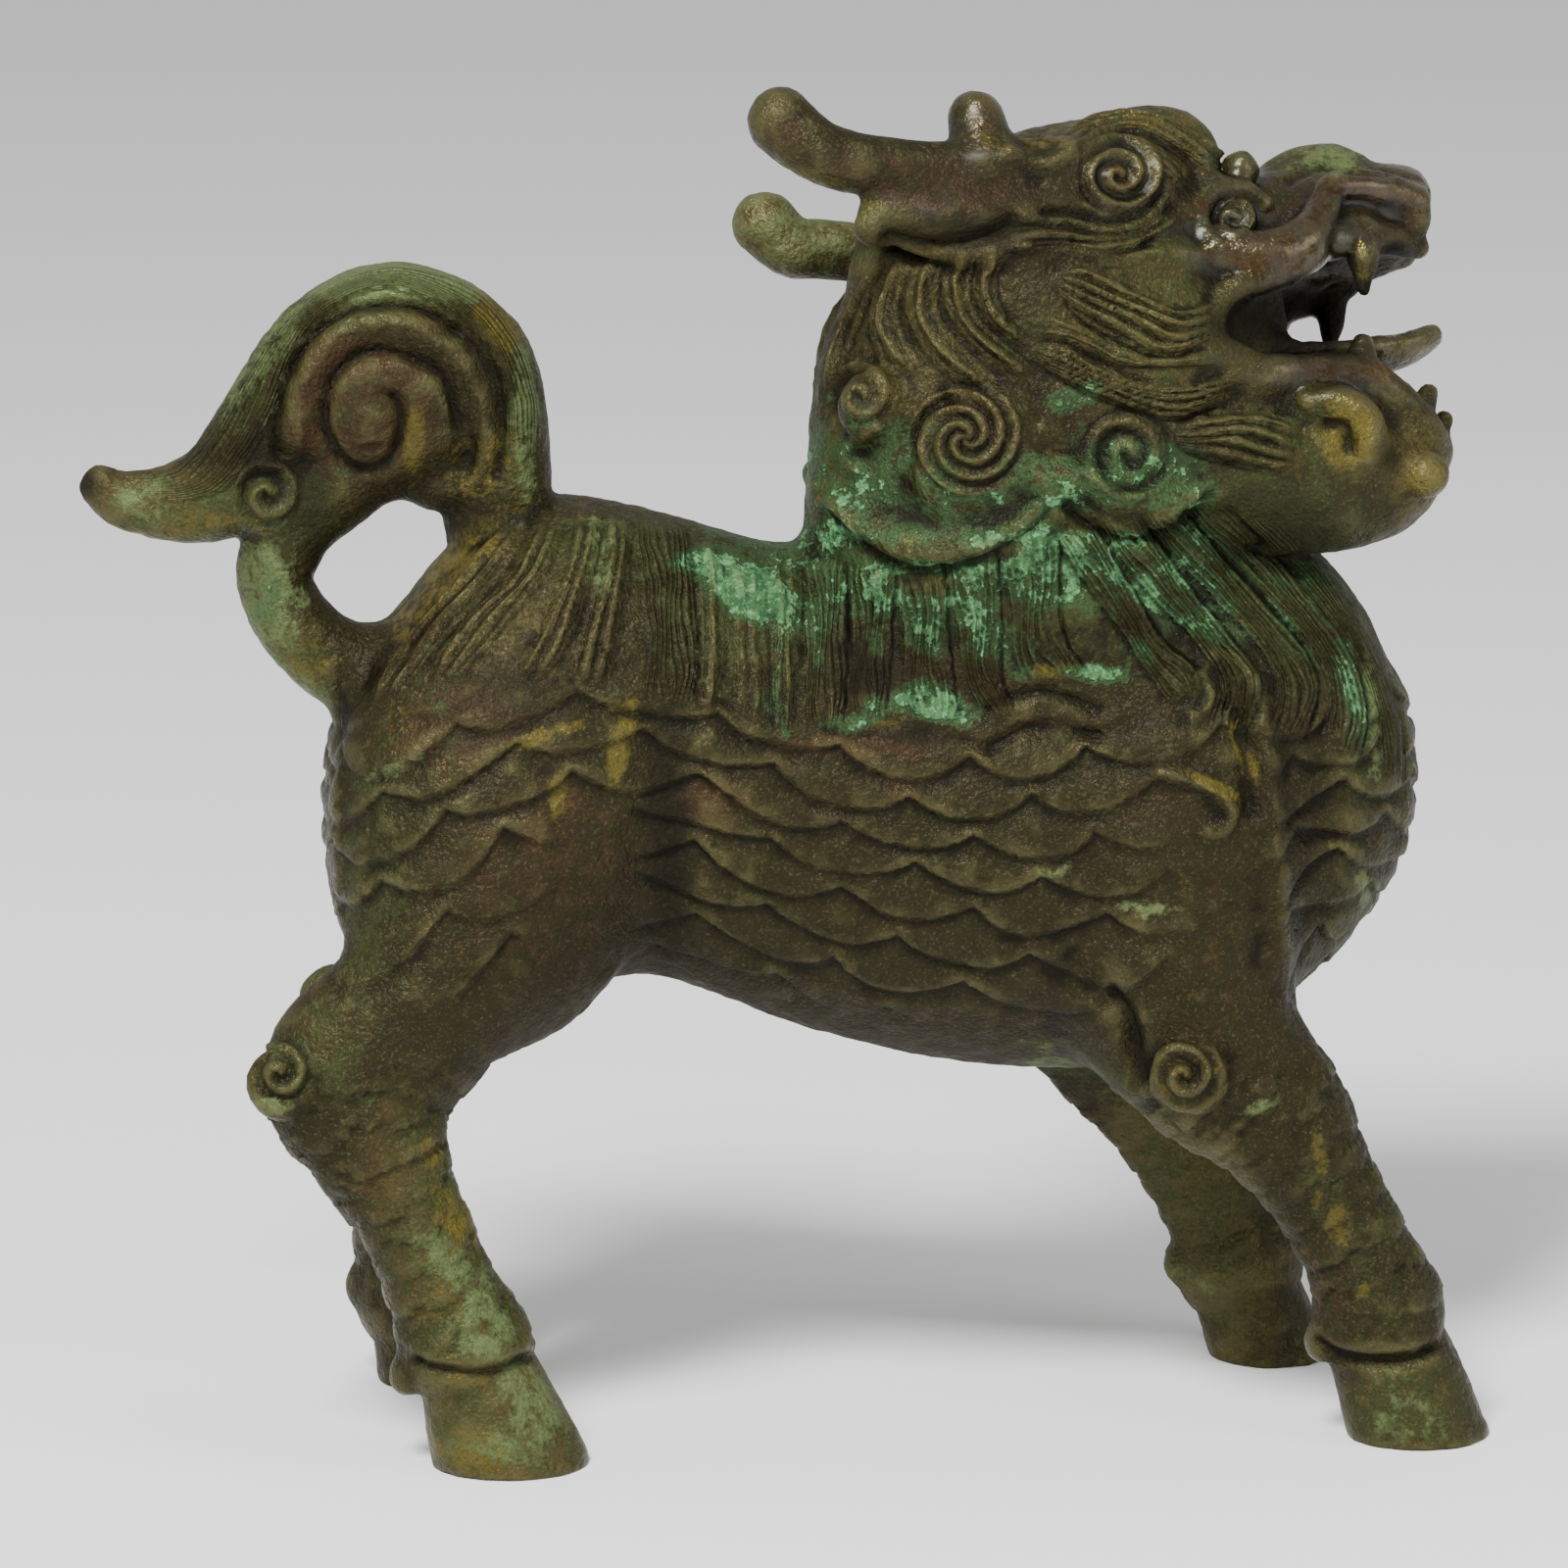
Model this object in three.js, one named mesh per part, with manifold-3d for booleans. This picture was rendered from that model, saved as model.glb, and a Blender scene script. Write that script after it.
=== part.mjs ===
// Suanni figurine: a small one-piece bronze casting of a horned, hoofed, scaled beast.
// Millimetres, +Z up. It faces +X, with its right side towards -Y, and stands on z = 0.
import * as THREE from 'three';
import { mergeVertices } from 'three/addons/utils/BufferGeometryUtils.js';
import Module from 'manifold-3d';

// Driving dimensions
const STANCE_HALF = 14.8;                          // centre line to the middle of each hoof
const HORN_HALF = 11.5;                            // centre line to each horn
const HORN_SHORT = 2.2;                            // the left horn ends this much sooner
const HEAD_PIVOT = new THREE.Vector3(30, 0, 104);
const HEAD_ROLL = THREE.MathUtils.degToRad(-30);   // the crown leans to the beast's left
const HEAD_YAW = THREE.MathUtils.degToRad(4);
const TAIL_CENTRE = [-36.6, 97.5];                 // x, z of the big tail scroll
const TAIL_SCROLL_RADIUS = 10;
const TAIL_HALF_WIDTH = 6.6;
const SIDES = [-1, 1];                             // right, then left

// Facets along and round the large forms
const TRUNK_STEPS = 18;
const TRUNK_SIDES = 22;
const NECK_STEPS = 6;
const NECK_SIDES = 16;
const LEG_STEPS = 14;
const LEG_SIDES = 9;
const HEM_STEPS = 9;

// A limb's round cap: a last ring this much thinner, this far out, before the pole. Shares of its radius.
const CAP_GIRTH = 0.72;
const CAP_RING = 0.7;

// A scroll's foot, sunk into the form that carries it
const FOOT_DEPTH = 2;
const FOOT_POLE = 2.5;

const wasm = await Module();
wasm.setup();

// Turns a closed three.js geometry into a solid, placed by a matrix.
function toSolid(geometry, matrix) {
  const bare = geometry.clone();
  bare.deleteAttribute('normal');
  bare.deleteAttribute('uv');
  const merged = mergeVertices(bare, 1e-4);
  if (matrix) merged.applyMatrix4(matrix);
  const corners = [];
  const index = merged.index.array;
  for (let i = 0; i < index.length; i += 3) {
    const [a, b, c] = [index[i], index[i + 1], index[i + 2]];
    if (a !== b && b !== c && c !== a) corners.push(a, b, c);
  }
  if (signedVolume(merged.attributes.position, corners) < 0) corners.reverse();
  const mesh = new wasm.Mesh({
    numProp: 3,
    vertProperties: new Float32Array(merged.attributes.position.array),
    triVerts: new Uint32Array(corners),
  });
  mesh.merge();
  return new wasm.Manifold(mesh);
}

function signedVolume(position, corners) {
  const [a, b, c] = [new THREE.Vector3(), new THREE.Vector3(), new THREE.Vector3()];
  let sum = 0;
  for (let i = 0; i < corners.length; i += 3) {
    a.fromBufferAttribute(position, corners[i]);
    b.fromBufferAttribute(position, corners[i + 1]);
    c.fromBufferAttribute(position, corners[i + 2]);
    sum += a.dot(b.cross(c));
  }
  return sum / 6;
}

// A closed skin over rings of points, with a pole point at each end.
function skin(firstPole, rings, lastPole) {
  const sides = rings[0].length;
  const points = [firstPole, ...rings.flat(), lastPole];
  const index = [];
  const at = (ring, k) => 1 + ring * sides + (k % sides);
  for (let k = 0; k < sides; k++) {
    index.push(0, at(0, k + 1), at(0, k));
    index.push(points.length - 1, at(rings.length - 1, k), at(rings.length - 1, k + 1));
    for (let ring = 0; ring + 1 < rings.length; ring++) {
      index.push(at(ring, k), at(ring, k + 1), at(ring + 1, k));
      index.push(at(ring, k + 1), at(ring + 1, k + 1), at(ring + 1, k));
    }
  }
  const geometry = new THREE.BufferGeometry().setFromPoints(points);
  geometry.setIndex(index);
  return geometry;
}

// A limb swept along a smooth path. Each station is [x, y, z, radius, half width across Y].
function limb(stations, steps, sides) {
  const path = new THREE.CatmullRomCurve3(stations.map(([x, y, z]) => new THREE.Vector3(x, y, z)));
  const girth = new THREE.CatmullRomCurve3(
    stations.map(([, , , r, w = r]) => new THREE.Vector3(r, w, 0)));
  const middle = (t, shift) => {
    const size = girth.getPoint(t);
    return path.getPoint(t).addScaledVector(path.getTangent(t), shift * Math.min(size.x, size.y));
  };
  const ring = (t, bulge, shift) => {
    const along = path.getTangent(t);
    const up = new THREE.Vector3().crossVectors(along, new THREE.Vector3(0, 1, 0)).normalize();
    const across = new THREE.Vector3().crossVectors(up, along);
    const size = girth.getPoint(t);
    return Array.from({ length: sides }, (_, k) => {
      const angle = (2 * Math.PI * k) / sides;
      return middle(t, shift)
        .addScaledVector(up, bulge * size.x * Math.cos(angle))
        .addScaledVector(across, bulge * size.y * Math.sin(angle));
    });
  };
  const rings = [ring(0, CAP_GIRTH, -CAP_RING)];
  for (let i = 0; i <= steps; i++) rings.push(ring(i / steps, 1, 0));
  rings.push(ring(1, CAP_GIRTH, CAP_RING));
  return skin(middle(0, -1), rings, middle(1, 1));
}

// An ellipsoid at x, y, z, with a count of facets round it.
function ball(x, y, z, rx, ry, rz, sides) {
  const bands = Math.max(4, Math.round(sides * 0.6));
  const geometry = new THREE.SphereGeometry(1, sides, bands);
  geometry.scale(rx, ry, rz);
  geometry.translate(x, y, z);
  return geometry;
}

// A snail scroll: a low dome facing out along Y, its face cut by a spiral furrow that fades at the rim.
function scroll(x, y, z, side, radius, height, turns, sides, furrow = 0.9) {
  const point = (r, angle, rise) => new THREE.Vector3(
    x + r * Math.cos(angle), y + side * rise, z + r * Math.sin(angle));
  const ring = pointAt => Array.from({ length: sides }, (_, k) => pointAt((2 * Math.PI * k) / sides));
  const count = Math.ceil(turns * 3) + 1;
  const rings = [];
  for (let j = 1; j <= count; j++) {
    const share = j / count;
    const dome = height * Math.sqrt(1 - 0.96 * share ** 2);
    const depth = furrow * (1 - share ** 6);
    rings.push(ring(angle => {
      const wave = Math.cos(2 * Math.PI * turns * share - angle);
      return point(radius * share, angle, dome + depth * Math.min(0, wave));
    }));
  }
  rings.push(ring(angle => point(radius * 0.9, angle, -FOOT_DEPTH)));
  return skin(point(0, 0, height), rings, point(0, 0, -FOOT_POLE));
}

// Trunk: [x, top, bottom, half width], from the rump to the chest
const TRUNK = [
  [-41.7, 66.5, 50.0, 8.0], [-39.5, 71.4, 44.5, 12.0], [-35.5, 77.7, 41.0, 14.8],
  [-29.5, 84.4, 40.6, 16.6], [-21.5, 88.2, 42.0, 17.0], [-12, 86.7, 43.4, 16.2],
  [0, 83.5, 38.8, 16.0], [12, 82.4, 34.9, 16.8], [24, 83.0, 33.2, 17.8],
  [34, 84.5, 33.6, 18.0], [42, 85.0, 36.2, 17.4], [48.5, 82.9, 40.6, 15.4],
  [53.5, 77.8, 45.6, 12.2], [57.4, 70.4, 51, 8.0],
];
const RUMP_POLE = [-42.3, 57];
const CHEST_POLE = [59.4, 60.5];

function trunk() {
  const outline = new THREE.CatmullRomCurve3(
    TRUNK.map(([x, top, bottom]) => new THREE.Vector3(x, top, bottom)));
  const girth = new THREE.CatmullRomCurve3(TRUNK.map(([x, , , w]) => new THREE.Vector3(x, w, 0)));
  const rings = [];
  for (let i = 0; i <= TRUNK_STEPS; i++) {
    const { x, y: top, z: bottom } = outline.getPoint(i / TRUNK_STEPS);
    const half = girth.getPoint(i / TRUNK_STEPS).y;
    rings.push(Array.from({ length: TRUNK_SIDES }, (_, k) => {
      const angle = (2 * Math.PI * k) / TRUNK_SIDES;
      return new THREE.Vector3(x, half * Math.sin(angle),
        (top + bottom) / 2 + ((top - bottom) / 2) * Math.cos(angle));
    }));
  }
  return skin(new THREE.Vector3(RUMP_POLE[0], 0, RUMP_POLE[1]), rings,
    new THREE.Vector3(CHEST_POLE[0], 0, CHEST_POLE[1]));
}

// Legs: [x, z, radius along, share of the stance, half width]. The last bulge is the hoof's collar.
const RIGHT_HIND = [
  [-26, 62, 15, 0.62, 8.5], [-29.5, 51, 11.4, 0.75, 8.2], [-35, 43.4, 9.4, 0.88, 6.8],
  [-40.8, 37.4, 9.2, 0.96, 5.6], [-40.8, 32.2, 7.2, 1, 5.1], [-37.2, 26.2, 5, 1, 4.8],
  [-34.8, 21.5, 5, 1, 4.7], [-33.1, 17.2, 5.2, 1, 4.8], [-31.8, 12.4, 5.8, 1, 5.2],
  [-30.4, 8.6, 6.9, 1, 6.2], [-29.2, 6.4, 6, 1, 5.6], [-26.5, -1, 7.2, 1, 6.4],
];
const LEFT_HIND = [
  [-25, 62, 14, 0.62, 8.5], [-28, 51, 10.8, 0.75, 8], [-31.4, 43.4, 8.4, 0.88, 6.6],
  [-34.8, 37.2, 7, 0.96, 5.6], [-36.4, 32, 6.2, 1, 5.1], [-36.4, 26.2, 5.5, 1, 4.8],
  [-35.6, 21.5, 5.1, 1, 4.7], [-34.9, 17.2, 5.1, 1, 4.8], [-34.2, 12.4, 5.4, 1, 5.2],
  [-33.4, 8.6, 6.5, 1, 6.2], [-32.8, 6.4, 5.6, 1, 5.6], [-31, -1, 6.4, 1, 6.4],
];
const RIGHT_FORE = [
  [34.6, 54, 12.4, 0.55, 8.5], [35.6, 44.5, 10.2, 0.75, 7.8], [39.4, 36.8, 8.6, 0.88, 6.4],
  [43.7, 30.2, 7.1, 0.95, 5.4], [47.5, 24.4, 5.8, 1, 4.9], [50.9, 19, 5.3, 1, 4.7],
  [53.4, 13.8, 5.5, 1, 4.9], [54.9, 10, 6.6, 1, 5.9], [55.6, 7.6, 5.9, 1, 5.4],
  [57.9, -1, 6.9, 1, 6.3],
];
const LEFT_FORE = [
  [31, 50, 13, 0.6, 8.2], [32.2, 41, 11.8, 0.78, 7], [35.4, 33, 9.2, 0.9, 5.8],
  [39.2, 25.6, 7, 0.98, 5], [42.6, 18.4, 5.8, 1, 4.7], [44.9, 12.4, 5.3, 1, 4.8],
  [46, 9.4, 6.3, 1, 5.8], [46.7, 7, 5.3, 1, 5.3], [49.5, -1, 5.8, 1, 6.1],
];
const FETLOCK_FROM_SOLE = 4;                       // stations counted up from the sole

function legs() {
  const sets = [[RIGHT_HIND, -1], [LEFT_HIND, 1], [RIGHT_FORE, -1], [LEFT_FORE, 1]];
  const made = [];
  for (const [rows, side] of sets) {
    const stations = rows.map(([x, z, r, share, w]) => [x, side * share * STANCE_HALF, z, r, w]);
    made.push(limb(stations, LEG_STEPS, LEG_SIDES));
    const [x, z, radius] = rows[rows.length - FETLOCK_FROM_SOLE];
    made.push(ball(x - radius + 0.8, side * STANCE_HALF, z - 3, 1.6, 1.8, 2, 5));
  }
  return made;
}

// Joint scrolls: a snail scroll on the outside of each hock and knee
const JOINT_SCROLLS = [[-47, 37.6, -1, 0.9], [-41, 36.6, 1, 0.9], [37, 33.8, -1, 4.6], [32.4, 32, 1, 4.6]];

function jointScrolls() {
  return JOINT_SCROLLS.map(([x, z, side, out]) =>
    scroll(x, side * (STANCE_HALF + out), z, side, 3.4, 1.8, 1.2, 8, 0.7));
}

// Neck, from inside the trunk to inside the head
const NECK = [
  [24, -1, 70, 21.6, 14], [23.4, -1, 82, 21.4, 14.6], [24, -0.5, 92, 21.7, 14.2],
  [25.8, 0.5, 101, 20.8, 13.4], [28, 2, 109, 17.6, 12],
];

// Mane: snail scrolls round the neck, [x, z, radius, turns, distance out, facets], over a rolled hem
const NECK_SCROLLS = [
  [17.4, 92.4, 6.2, 2, 13.4, 14], [7.4, 97, 3.2, 1.2, 10, 8], [31.6, 91.2, 4.8, 1.4, 13.8, 10],
];

function neckScrolls() {
  return SIDES.flatMap(side => NECK_SCROLLS.map(([x, z, radius, turns, out, sides]) =>
    scroll(x, side * out, z, side, radius, 1.9, turns, sides)));
}

// The hem hangs in scallops from the back of the neck to its front, on each side.
const HEM_REAR = THREE.MathUtils.degToRad(160);    // angle round the neck, from straight ahead
const HEM_FRONT = THREE.MathUtils.degToRad(15);
const HEM_LIFT = 2.6;                              // above the neck's second station
const HEM_DROP = 1.6;                              // depth of each scallop
const HEM_SCALLOPS = 3;

function maneHem() {
  const [x, , z, along, across] = NECK[1];
  const made = [];
  for (const side of SIDES) {
    const stations = [];
    for (let i = 0; i <= HEM_STEPS; i++) {
      const t = i / HEM_STEPS;
      const angle = THREE.MathUtils.lerp(HEM_REAR, HEM_FRONT, t);
      const drop = HEM_DROP * Math.abs(Math.sin(t * Math.PI * HEM_SCALLOPS));
      stations.push([x + along * Math.cos(angle), side * across * Math.sin(angle), z + HEM_LIFT - drop,
        1.2, 1.6]);
    }
    made.push(limb(stations, HEM_STEPS, 4));
  }
  return made;
}

// Head, modelled upright about its own pivot, symmetric, facing +X
function headShapes() {
  const snout = [[4, 0, 6.6, 8, 9.5], [12, 0, 7.2, 5.4, 8.6], [20, 0, 8.8, 5.2, 7.6],
    [26.6, 0, 8.8, 4.4, 6.6]];
  const jaw = [[0, 0, -8, 9, 10.4], [10, 0, -13.6, 7, 8.6], [18, 0, -15.2, 7.8, 7.6],
    [23.6, 0, -16.8, 6, 6.6]];
  const tongue = [[4, 0, -6.6, 2.4, 4], [14, 0, -4.6, 1.4, 4.2], [22, 0, -5, 1.3, 4],
    [27.6, 0, -4.7, 1.2, 3.2], [30.4, 0, -3.6, 0.9, 1.8]];
  return [
    ball(-4, 0, 2.5, 20, 12.2, 15.2, 12),
    ball(0.2, 0, 8, 12.4, 11.4, 10.6, 10),
    limb(snout, 4, 10),
    limb(jaw, 4, 10),
    limb(tongue, 5, 6),
    ball(22.2, 0, 12, 4.6, 5, 5, 8),
    ball(29, 0, 10.8, 3, 5.8, 3, 7),
    ball(28.6, 0, -15.4, 2.2, 4.8, 2.6, 6),
    ball(26.8, -3.2, -18.4, 1.9, 2, 1.9, 6),
    ...SIDES.flatMap(headSide),
  ];
}

function headSide(side) {
  const place = rows => rows.map(([x, y, z, ...rest]) => [x, side * y, z, ...rest]);
  const reach = side < 0 ? 0 : HORN_SHORT;
  const horn = place([[0, 9.6, 9.2, 3.4], [-8, 11, 9.9, 3], [-16 + reach, HORN_HALF, 10, 2.7],
    [-24 + reach, HORN_HALF + 0.4, 10.5, 2.9], [-28.6 + reach, HORN_HALF + 0.6, 12.4, 3.1],
    [-30.8 + reach, HORN_HALF + 0.6, 14.8, 3.1]]);
  const tine = place([[-11.8, HORN_HALF, 10.4, 3], [-12.2, HORN_HALF, 14.8, 2.7]]);
  const ear = place([[-2, 9.4, 4.6, 3.4, 2.6], [-12, 10.8, 5, 4, 2], [-22, 9.4, 6.8, 3.2, 1.6]]);
  const brow = place([[-4, 9, 12, 3.2], [4.4, 8.6, 14.4, 3.2], [9.2, 8, 12.2, 2.6], [12, 7.6, 9.8, 1.8]]);
  const lip = place([[29.6, 4.4, 9, 1.2], [25.6, 6.4, 9.4, 1.2], [21, 7.6, 8.8, 1.2], [19, 8.4, 5.8, 1.3],
    [16.4, 9, 2.8, 1.5], [12.4, 9.4, 1.2, 1.6], [8.6, 9.6, 2.8, 1.4], [7, 9.6, 6.2, 1.2],
    [9, 9.2, 9.2, 1.1], [12.6, 8.8, 8.9, 1.0]]);
  const jawLip = place([[7.4, 8.6, -5.6, 1.6], [11, 8.6, -8.2, 1.5], [16, 7.8, -7.8, 1.5],
    [21, 7, -8.2, 1.5], [25, 5.8, -10.8, 1.5], [27.6, 4, -13.8, 1.4]]);
  const upperFang = place([[23, 5.8, 4.4, 1.7], [22.6, 6, -0.4, 0.6]]);
  const lowerTooth = place([[27.2, 3.2, -13.4, 1.3], [27.8, 3.2, -9.8, 0.6]]);
  return [
    limb(horn, 7, 7), limb(tine, 1, 6), limb(ear, 2, 6), limb(brow, 3, 6), limb(lip, 10, 4),
    limb(jawLip, 6, 4), limb(upperFang, 1, 4), limb(lowerTooth, 1, 4),
    ball(16, side * 5, 5, 7.5, 3, 2.6, 8),
    ball(3.4, side * 7.6, -5, 5, 3.6, 5.6, 6),
    scroll(-0.4, side * 9.8, 9.8, side, 5, 3, 1.3, 9),
    ball(12.2, side * 7.6, 11.2, 1.9, 1.7, 1.9, 6),
    ball(10.7, side * 9.4, 5.8, 1.6, 1.4, 1.6, 6),
  ];
}

// Tail: a stalk from the rump, a big scroll that touches the back, and a swept tip
function tailShapes() {
  const [x, z] = TAIL_CENTRE;
  const stalk = [[-37, 0, 71.6, 4.6, 4.6], [-41.6, 0, 73.2, 4, 4.2], [-45.2, 0, 76.6, 3.6, 3.8],
    [-47, 0, 80.8, 3.5, 3.6], [-45.6, 0, 86.2, 5.2, 3.8]];
  const plume = [[-26.2, 0, 86, 5.2, 5.4], [-26, 0, 95, 4.5, 5.8], [-28.2, 0, 102, 4.6, 6],
    [-35.4, 0, 105.4, 4.4, 6], [-42.2, 0, 102.6, 4.6, 5.8], [-46.9, 0, 95.8, 5, 5.2],
    [-50.9, 0, 90, 5, 4.6], [-55.6, 0, 88.2, 3.8, 3.4], [-60.4, 0, 88.5, 2.8, 2.4],
    [-62.6, 0, 89.8, 2, 1.7]];
  return [
    limb(stalk, 6, 8),
    limb(plume, 13, 9),
    ball(-31, 0, 88.6, 4.4, 5, 3.6, 7),
    ...SIDES.map(side => scroll(x, side * 0.5, z, side, TAIL_SCROLL_RADIUS, TAIL_HALF_WIDTH, 2, 16, 1.6)),
    ...SIDES.map(side => ball(-47.4, side * 3.4, 88.6, 2.8, 2, 2.8, 6)),
  ];
}

function union(geometries, matrix) {
  return geometries.map(g => toSolid(g, matrix)).reduce((sum, next) => sum.add(next));
}

function headMatrix() {
  const turn = new THREE.Matrix4().makeRotationZ(HEAD_YAW)
    .multiply(new THREE.Matrix4().makeRotationX(HEAD_ROLL));
  return turn.setPosition(HEAD_PIVOT);
}

function figurine() {
  const body = union([trunk(), limb(NECK, NECK_STEPS, NECK_SIDES), ...legs(), ...jointScrolls(),
    ...neckScrolls(), ...maneHem(), ...tailShapes()]);
  const head = union(headShapes(), headMatrix());
  const below = new THREE.BoxGeometry(200, 100, 20);
  below.translate(0, 0, -10);
  return body.add(head).subtract(toSolid(below));
}

// The finished solid, moved so that its origin is under the middle of its bounding box.
function toGeometry(solid) {
  const { vertProperties, triVerts, numProp } = solid.getMesh();
  const points = [];
  for (let i = 0; i < vertProperties.length; i += numProp) {
    points.push(new THREE.Vector3(...vertProperties.slice(i, i + 3)));
  }
  const geometry = new THREE.BufferGeometry().setFromPoints(points);
  geometry.setIndex(Array.from(triVerts));
  geometry.computeBoundingBox();
  const { min, max } = geometry.boundingBox;
  geometry.translate(-(min.x + max.x) / 2, -(min.y + max.y) / 2, -min.z);
  geometry.computeVertexNormals();
  return geometry;
}

const bronze = new THREE.MeshStandardMaterial({ color: 0x4a3b26, roughness: 0.55, metalness: 0.7 });
const mesh = new THREE.Mesh(toGeometry(figurine()), bronze);
mesh.name = 'figurine';

const part = new THREE.Group();
part.add(mesh);
export default part;
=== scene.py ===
import math
import bpy
import numpy as np
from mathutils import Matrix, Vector


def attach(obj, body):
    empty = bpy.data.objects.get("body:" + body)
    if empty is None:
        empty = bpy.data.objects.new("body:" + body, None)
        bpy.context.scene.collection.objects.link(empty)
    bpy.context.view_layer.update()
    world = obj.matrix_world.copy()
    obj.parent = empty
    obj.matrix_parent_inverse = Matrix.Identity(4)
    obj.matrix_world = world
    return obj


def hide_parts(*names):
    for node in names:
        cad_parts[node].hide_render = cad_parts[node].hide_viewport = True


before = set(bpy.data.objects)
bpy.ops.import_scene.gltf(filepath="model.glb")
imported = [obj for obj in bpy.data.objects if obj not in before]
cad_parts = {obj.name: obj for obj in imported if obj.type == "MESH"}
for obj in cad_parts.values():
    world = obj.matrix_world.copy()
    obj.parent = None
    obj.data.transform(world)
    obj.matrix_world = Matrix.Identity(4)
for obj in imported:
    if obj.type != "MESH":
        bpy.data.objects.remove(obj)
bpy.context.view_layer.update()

# The view the photograph was taken from. The beast's relief is laid out in this picture plane,
# in millimetres right of and above its middle, on the plane through the body's centre line.
MM = 0.001
AIM = np.array([0.0, 0.0, 60.5])
ELEVATION = math.radians(11.5)
AZIMUTH = math.radians(-6.0)
DISTANCE = 700.0
PICTURE_WIDTH = 146.1
SENSOR = 36.0
towards_camera = np.array([math.sin(AZIMUTH) * math.cos(ELEVATION),
                           -math.cos(AZIMUTH) * math.cos(ELEVATION), math.sin(ELEVATION)])
picture_right = np.array([math.cos(AZIMUTH), math.sin(AZIMUTH), 0.0])
picture_up = np.cross(towards_camera, picture_right)
eye_point = AIM + DISTANCE * towards_camera

camera_data = bpy.data.cameras.new("camera")
camera_data.lens = SENSOR * DISTANCE / PICTURE_WIDTH
camera_data.sensor_width = SENSOR
camera_data.clip_end = 10.0
camera = bpy.data.objects.new("camera", camera_data)
camera.location = Vector(eye_point * MM)
camera.rotation_euler = Vector(-towards_camera).to_track_quat("-Z", "Y").to_euler()
bpy.context.collection.objects.link(camera)
bpy.context.scene.camera = camera


def picture(points):
    """Where points in space land in the picture."""
    away = points - eye_point
    scale = DISTANCE / -(away @ towards_camera)
    return (away @ picture_right) * scale, (away @ picture_up) * scale


# The wax, a block of soft cells that all forms are pressed into before the mould is made.
# Each cell holds its distance to the surface in millimetres, below zero inside.
CELL = 0.3
CASTING_SHIFT = -0.104                     # the casting's frame is centred on its own box
low_corner = np.array([-68.0, -24.0, -3.0])
high_corner = np.array([68.0, 24.0, 131.0])
cell_counts = np.ceil((high_corner - low_corner) / CELL).astype(int)
FAR = 9.0
SIDES = (-1, 1)                            # its right, then its left


def new_wax():
    return np.full(cell_counts, FAR, np.float32)


def curve(rows, count):
    """A smooth line through rows of numbers, sampled evenly from row to row."""
    rows = np.array(rows, float)
    padded = np.vstack([2 * rows[0] - rows[1], rows, 2 * rows[-1] - rows[-2]])
    along = np.linspace(0, len(rows) - 1, count)
    first = np.minimum(along.astype(int), len(rows) - 2)
    share = (along - first)[:, None]
    before, start, end, after = (padded[first + n] for n in range(4))
    return 0.5 * (2 * start + (end - before) * share
                  + (2 * before - 5 * start + 4 * end - after) * share ** 2
                  + (3 * start - before - 3 * end + after) * share ** 3)


class Place:
    """A piece's own axes: where its origin is, and how it is turned."""

    def __init__(self, origin=(0, 0, 0), turn=np.eye(3)):
        self.origin = np.array(origin, float)
        self.turn = turn

    def out(self, points):
        return np.asarray(points, float) @ self.turn.T + self.origin

    def back(self, points):
        return (np.asarray(points, float) - self.origin) @ self.turn


upright = Place()


def window(low, high, place):
    """The block of cells between two corners, and each cell's place in the piece's own axes."""
    first = np.clip(np.floor((low - low_corner) / CELL).astype(int), 0, cell_counts - 2)
    last = np.clip(np.ceil((high - low_corner) / CELL).astype(int) + 1, first + 2, cell_counts)
    cells = tuple(slice(a, b) for a, b in zip(first, last))
    axes = [low_corner[n] + CELL * np.arange(first[n], last[n]) - place.origin[n] for n in range(3)]
    x, y, z = (a.astype(np.float32) for a in np.meshgrid(*axes, indexing="ij"))
    turn = place.turn.astype(np.float32)
    return cells, [x * turn[0, n] + y * turn[1, n] + z * turn[2, n] for n in range(3)]


def press(wax, cells, distance, blend):
    """Adds a form, with a fillet of the given width where it meets what is there."""
    there = wax[cells]
    share = np.maximum(blend - np.abs(there - distance), 0) / blend
    wax[cells] = np.minimum(there, distance) - share ** 2 * (blend / 4)


def carve(wax, cells, distance, blend):
    """Takes a form away, with its edge rounded."""
    there = wax[cells]
    share = np.maximum(blend - np.abs(there + distance), 0) / blend
    wax[cells] = np.maximum(there, -distance) + share ** 2 * (blend / 4)


def ball_distance(x, y, z, centre, radii):
    x, y, z = x - centre[0], y - centre[1], z - centre[2]
    near = np.sqrt((x / radii[0]) ** 2 + (y / radii[1]) ** 2 + (z / radii[2]) ** 2) + 1e-4
    steep = np.sqrt((x / radii[0] ** 2) ** 2 + (y / radii[1] ** 2) ** 2 + (z / radii[2] ** 2) ** 2)
    return near * (near - 1) / (steep + 1e-5)


def ball(wax, centre, radii, blend, place=upright, method=press):
    reach = max(radii) + blend + 1
    middle = place.out(centre)
    cells, (x, y, z) = window(middle - reach, middle + reach, place)
    method(wax, cells, ball_distance(x, y, z, centre, radii), blend)


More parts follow.
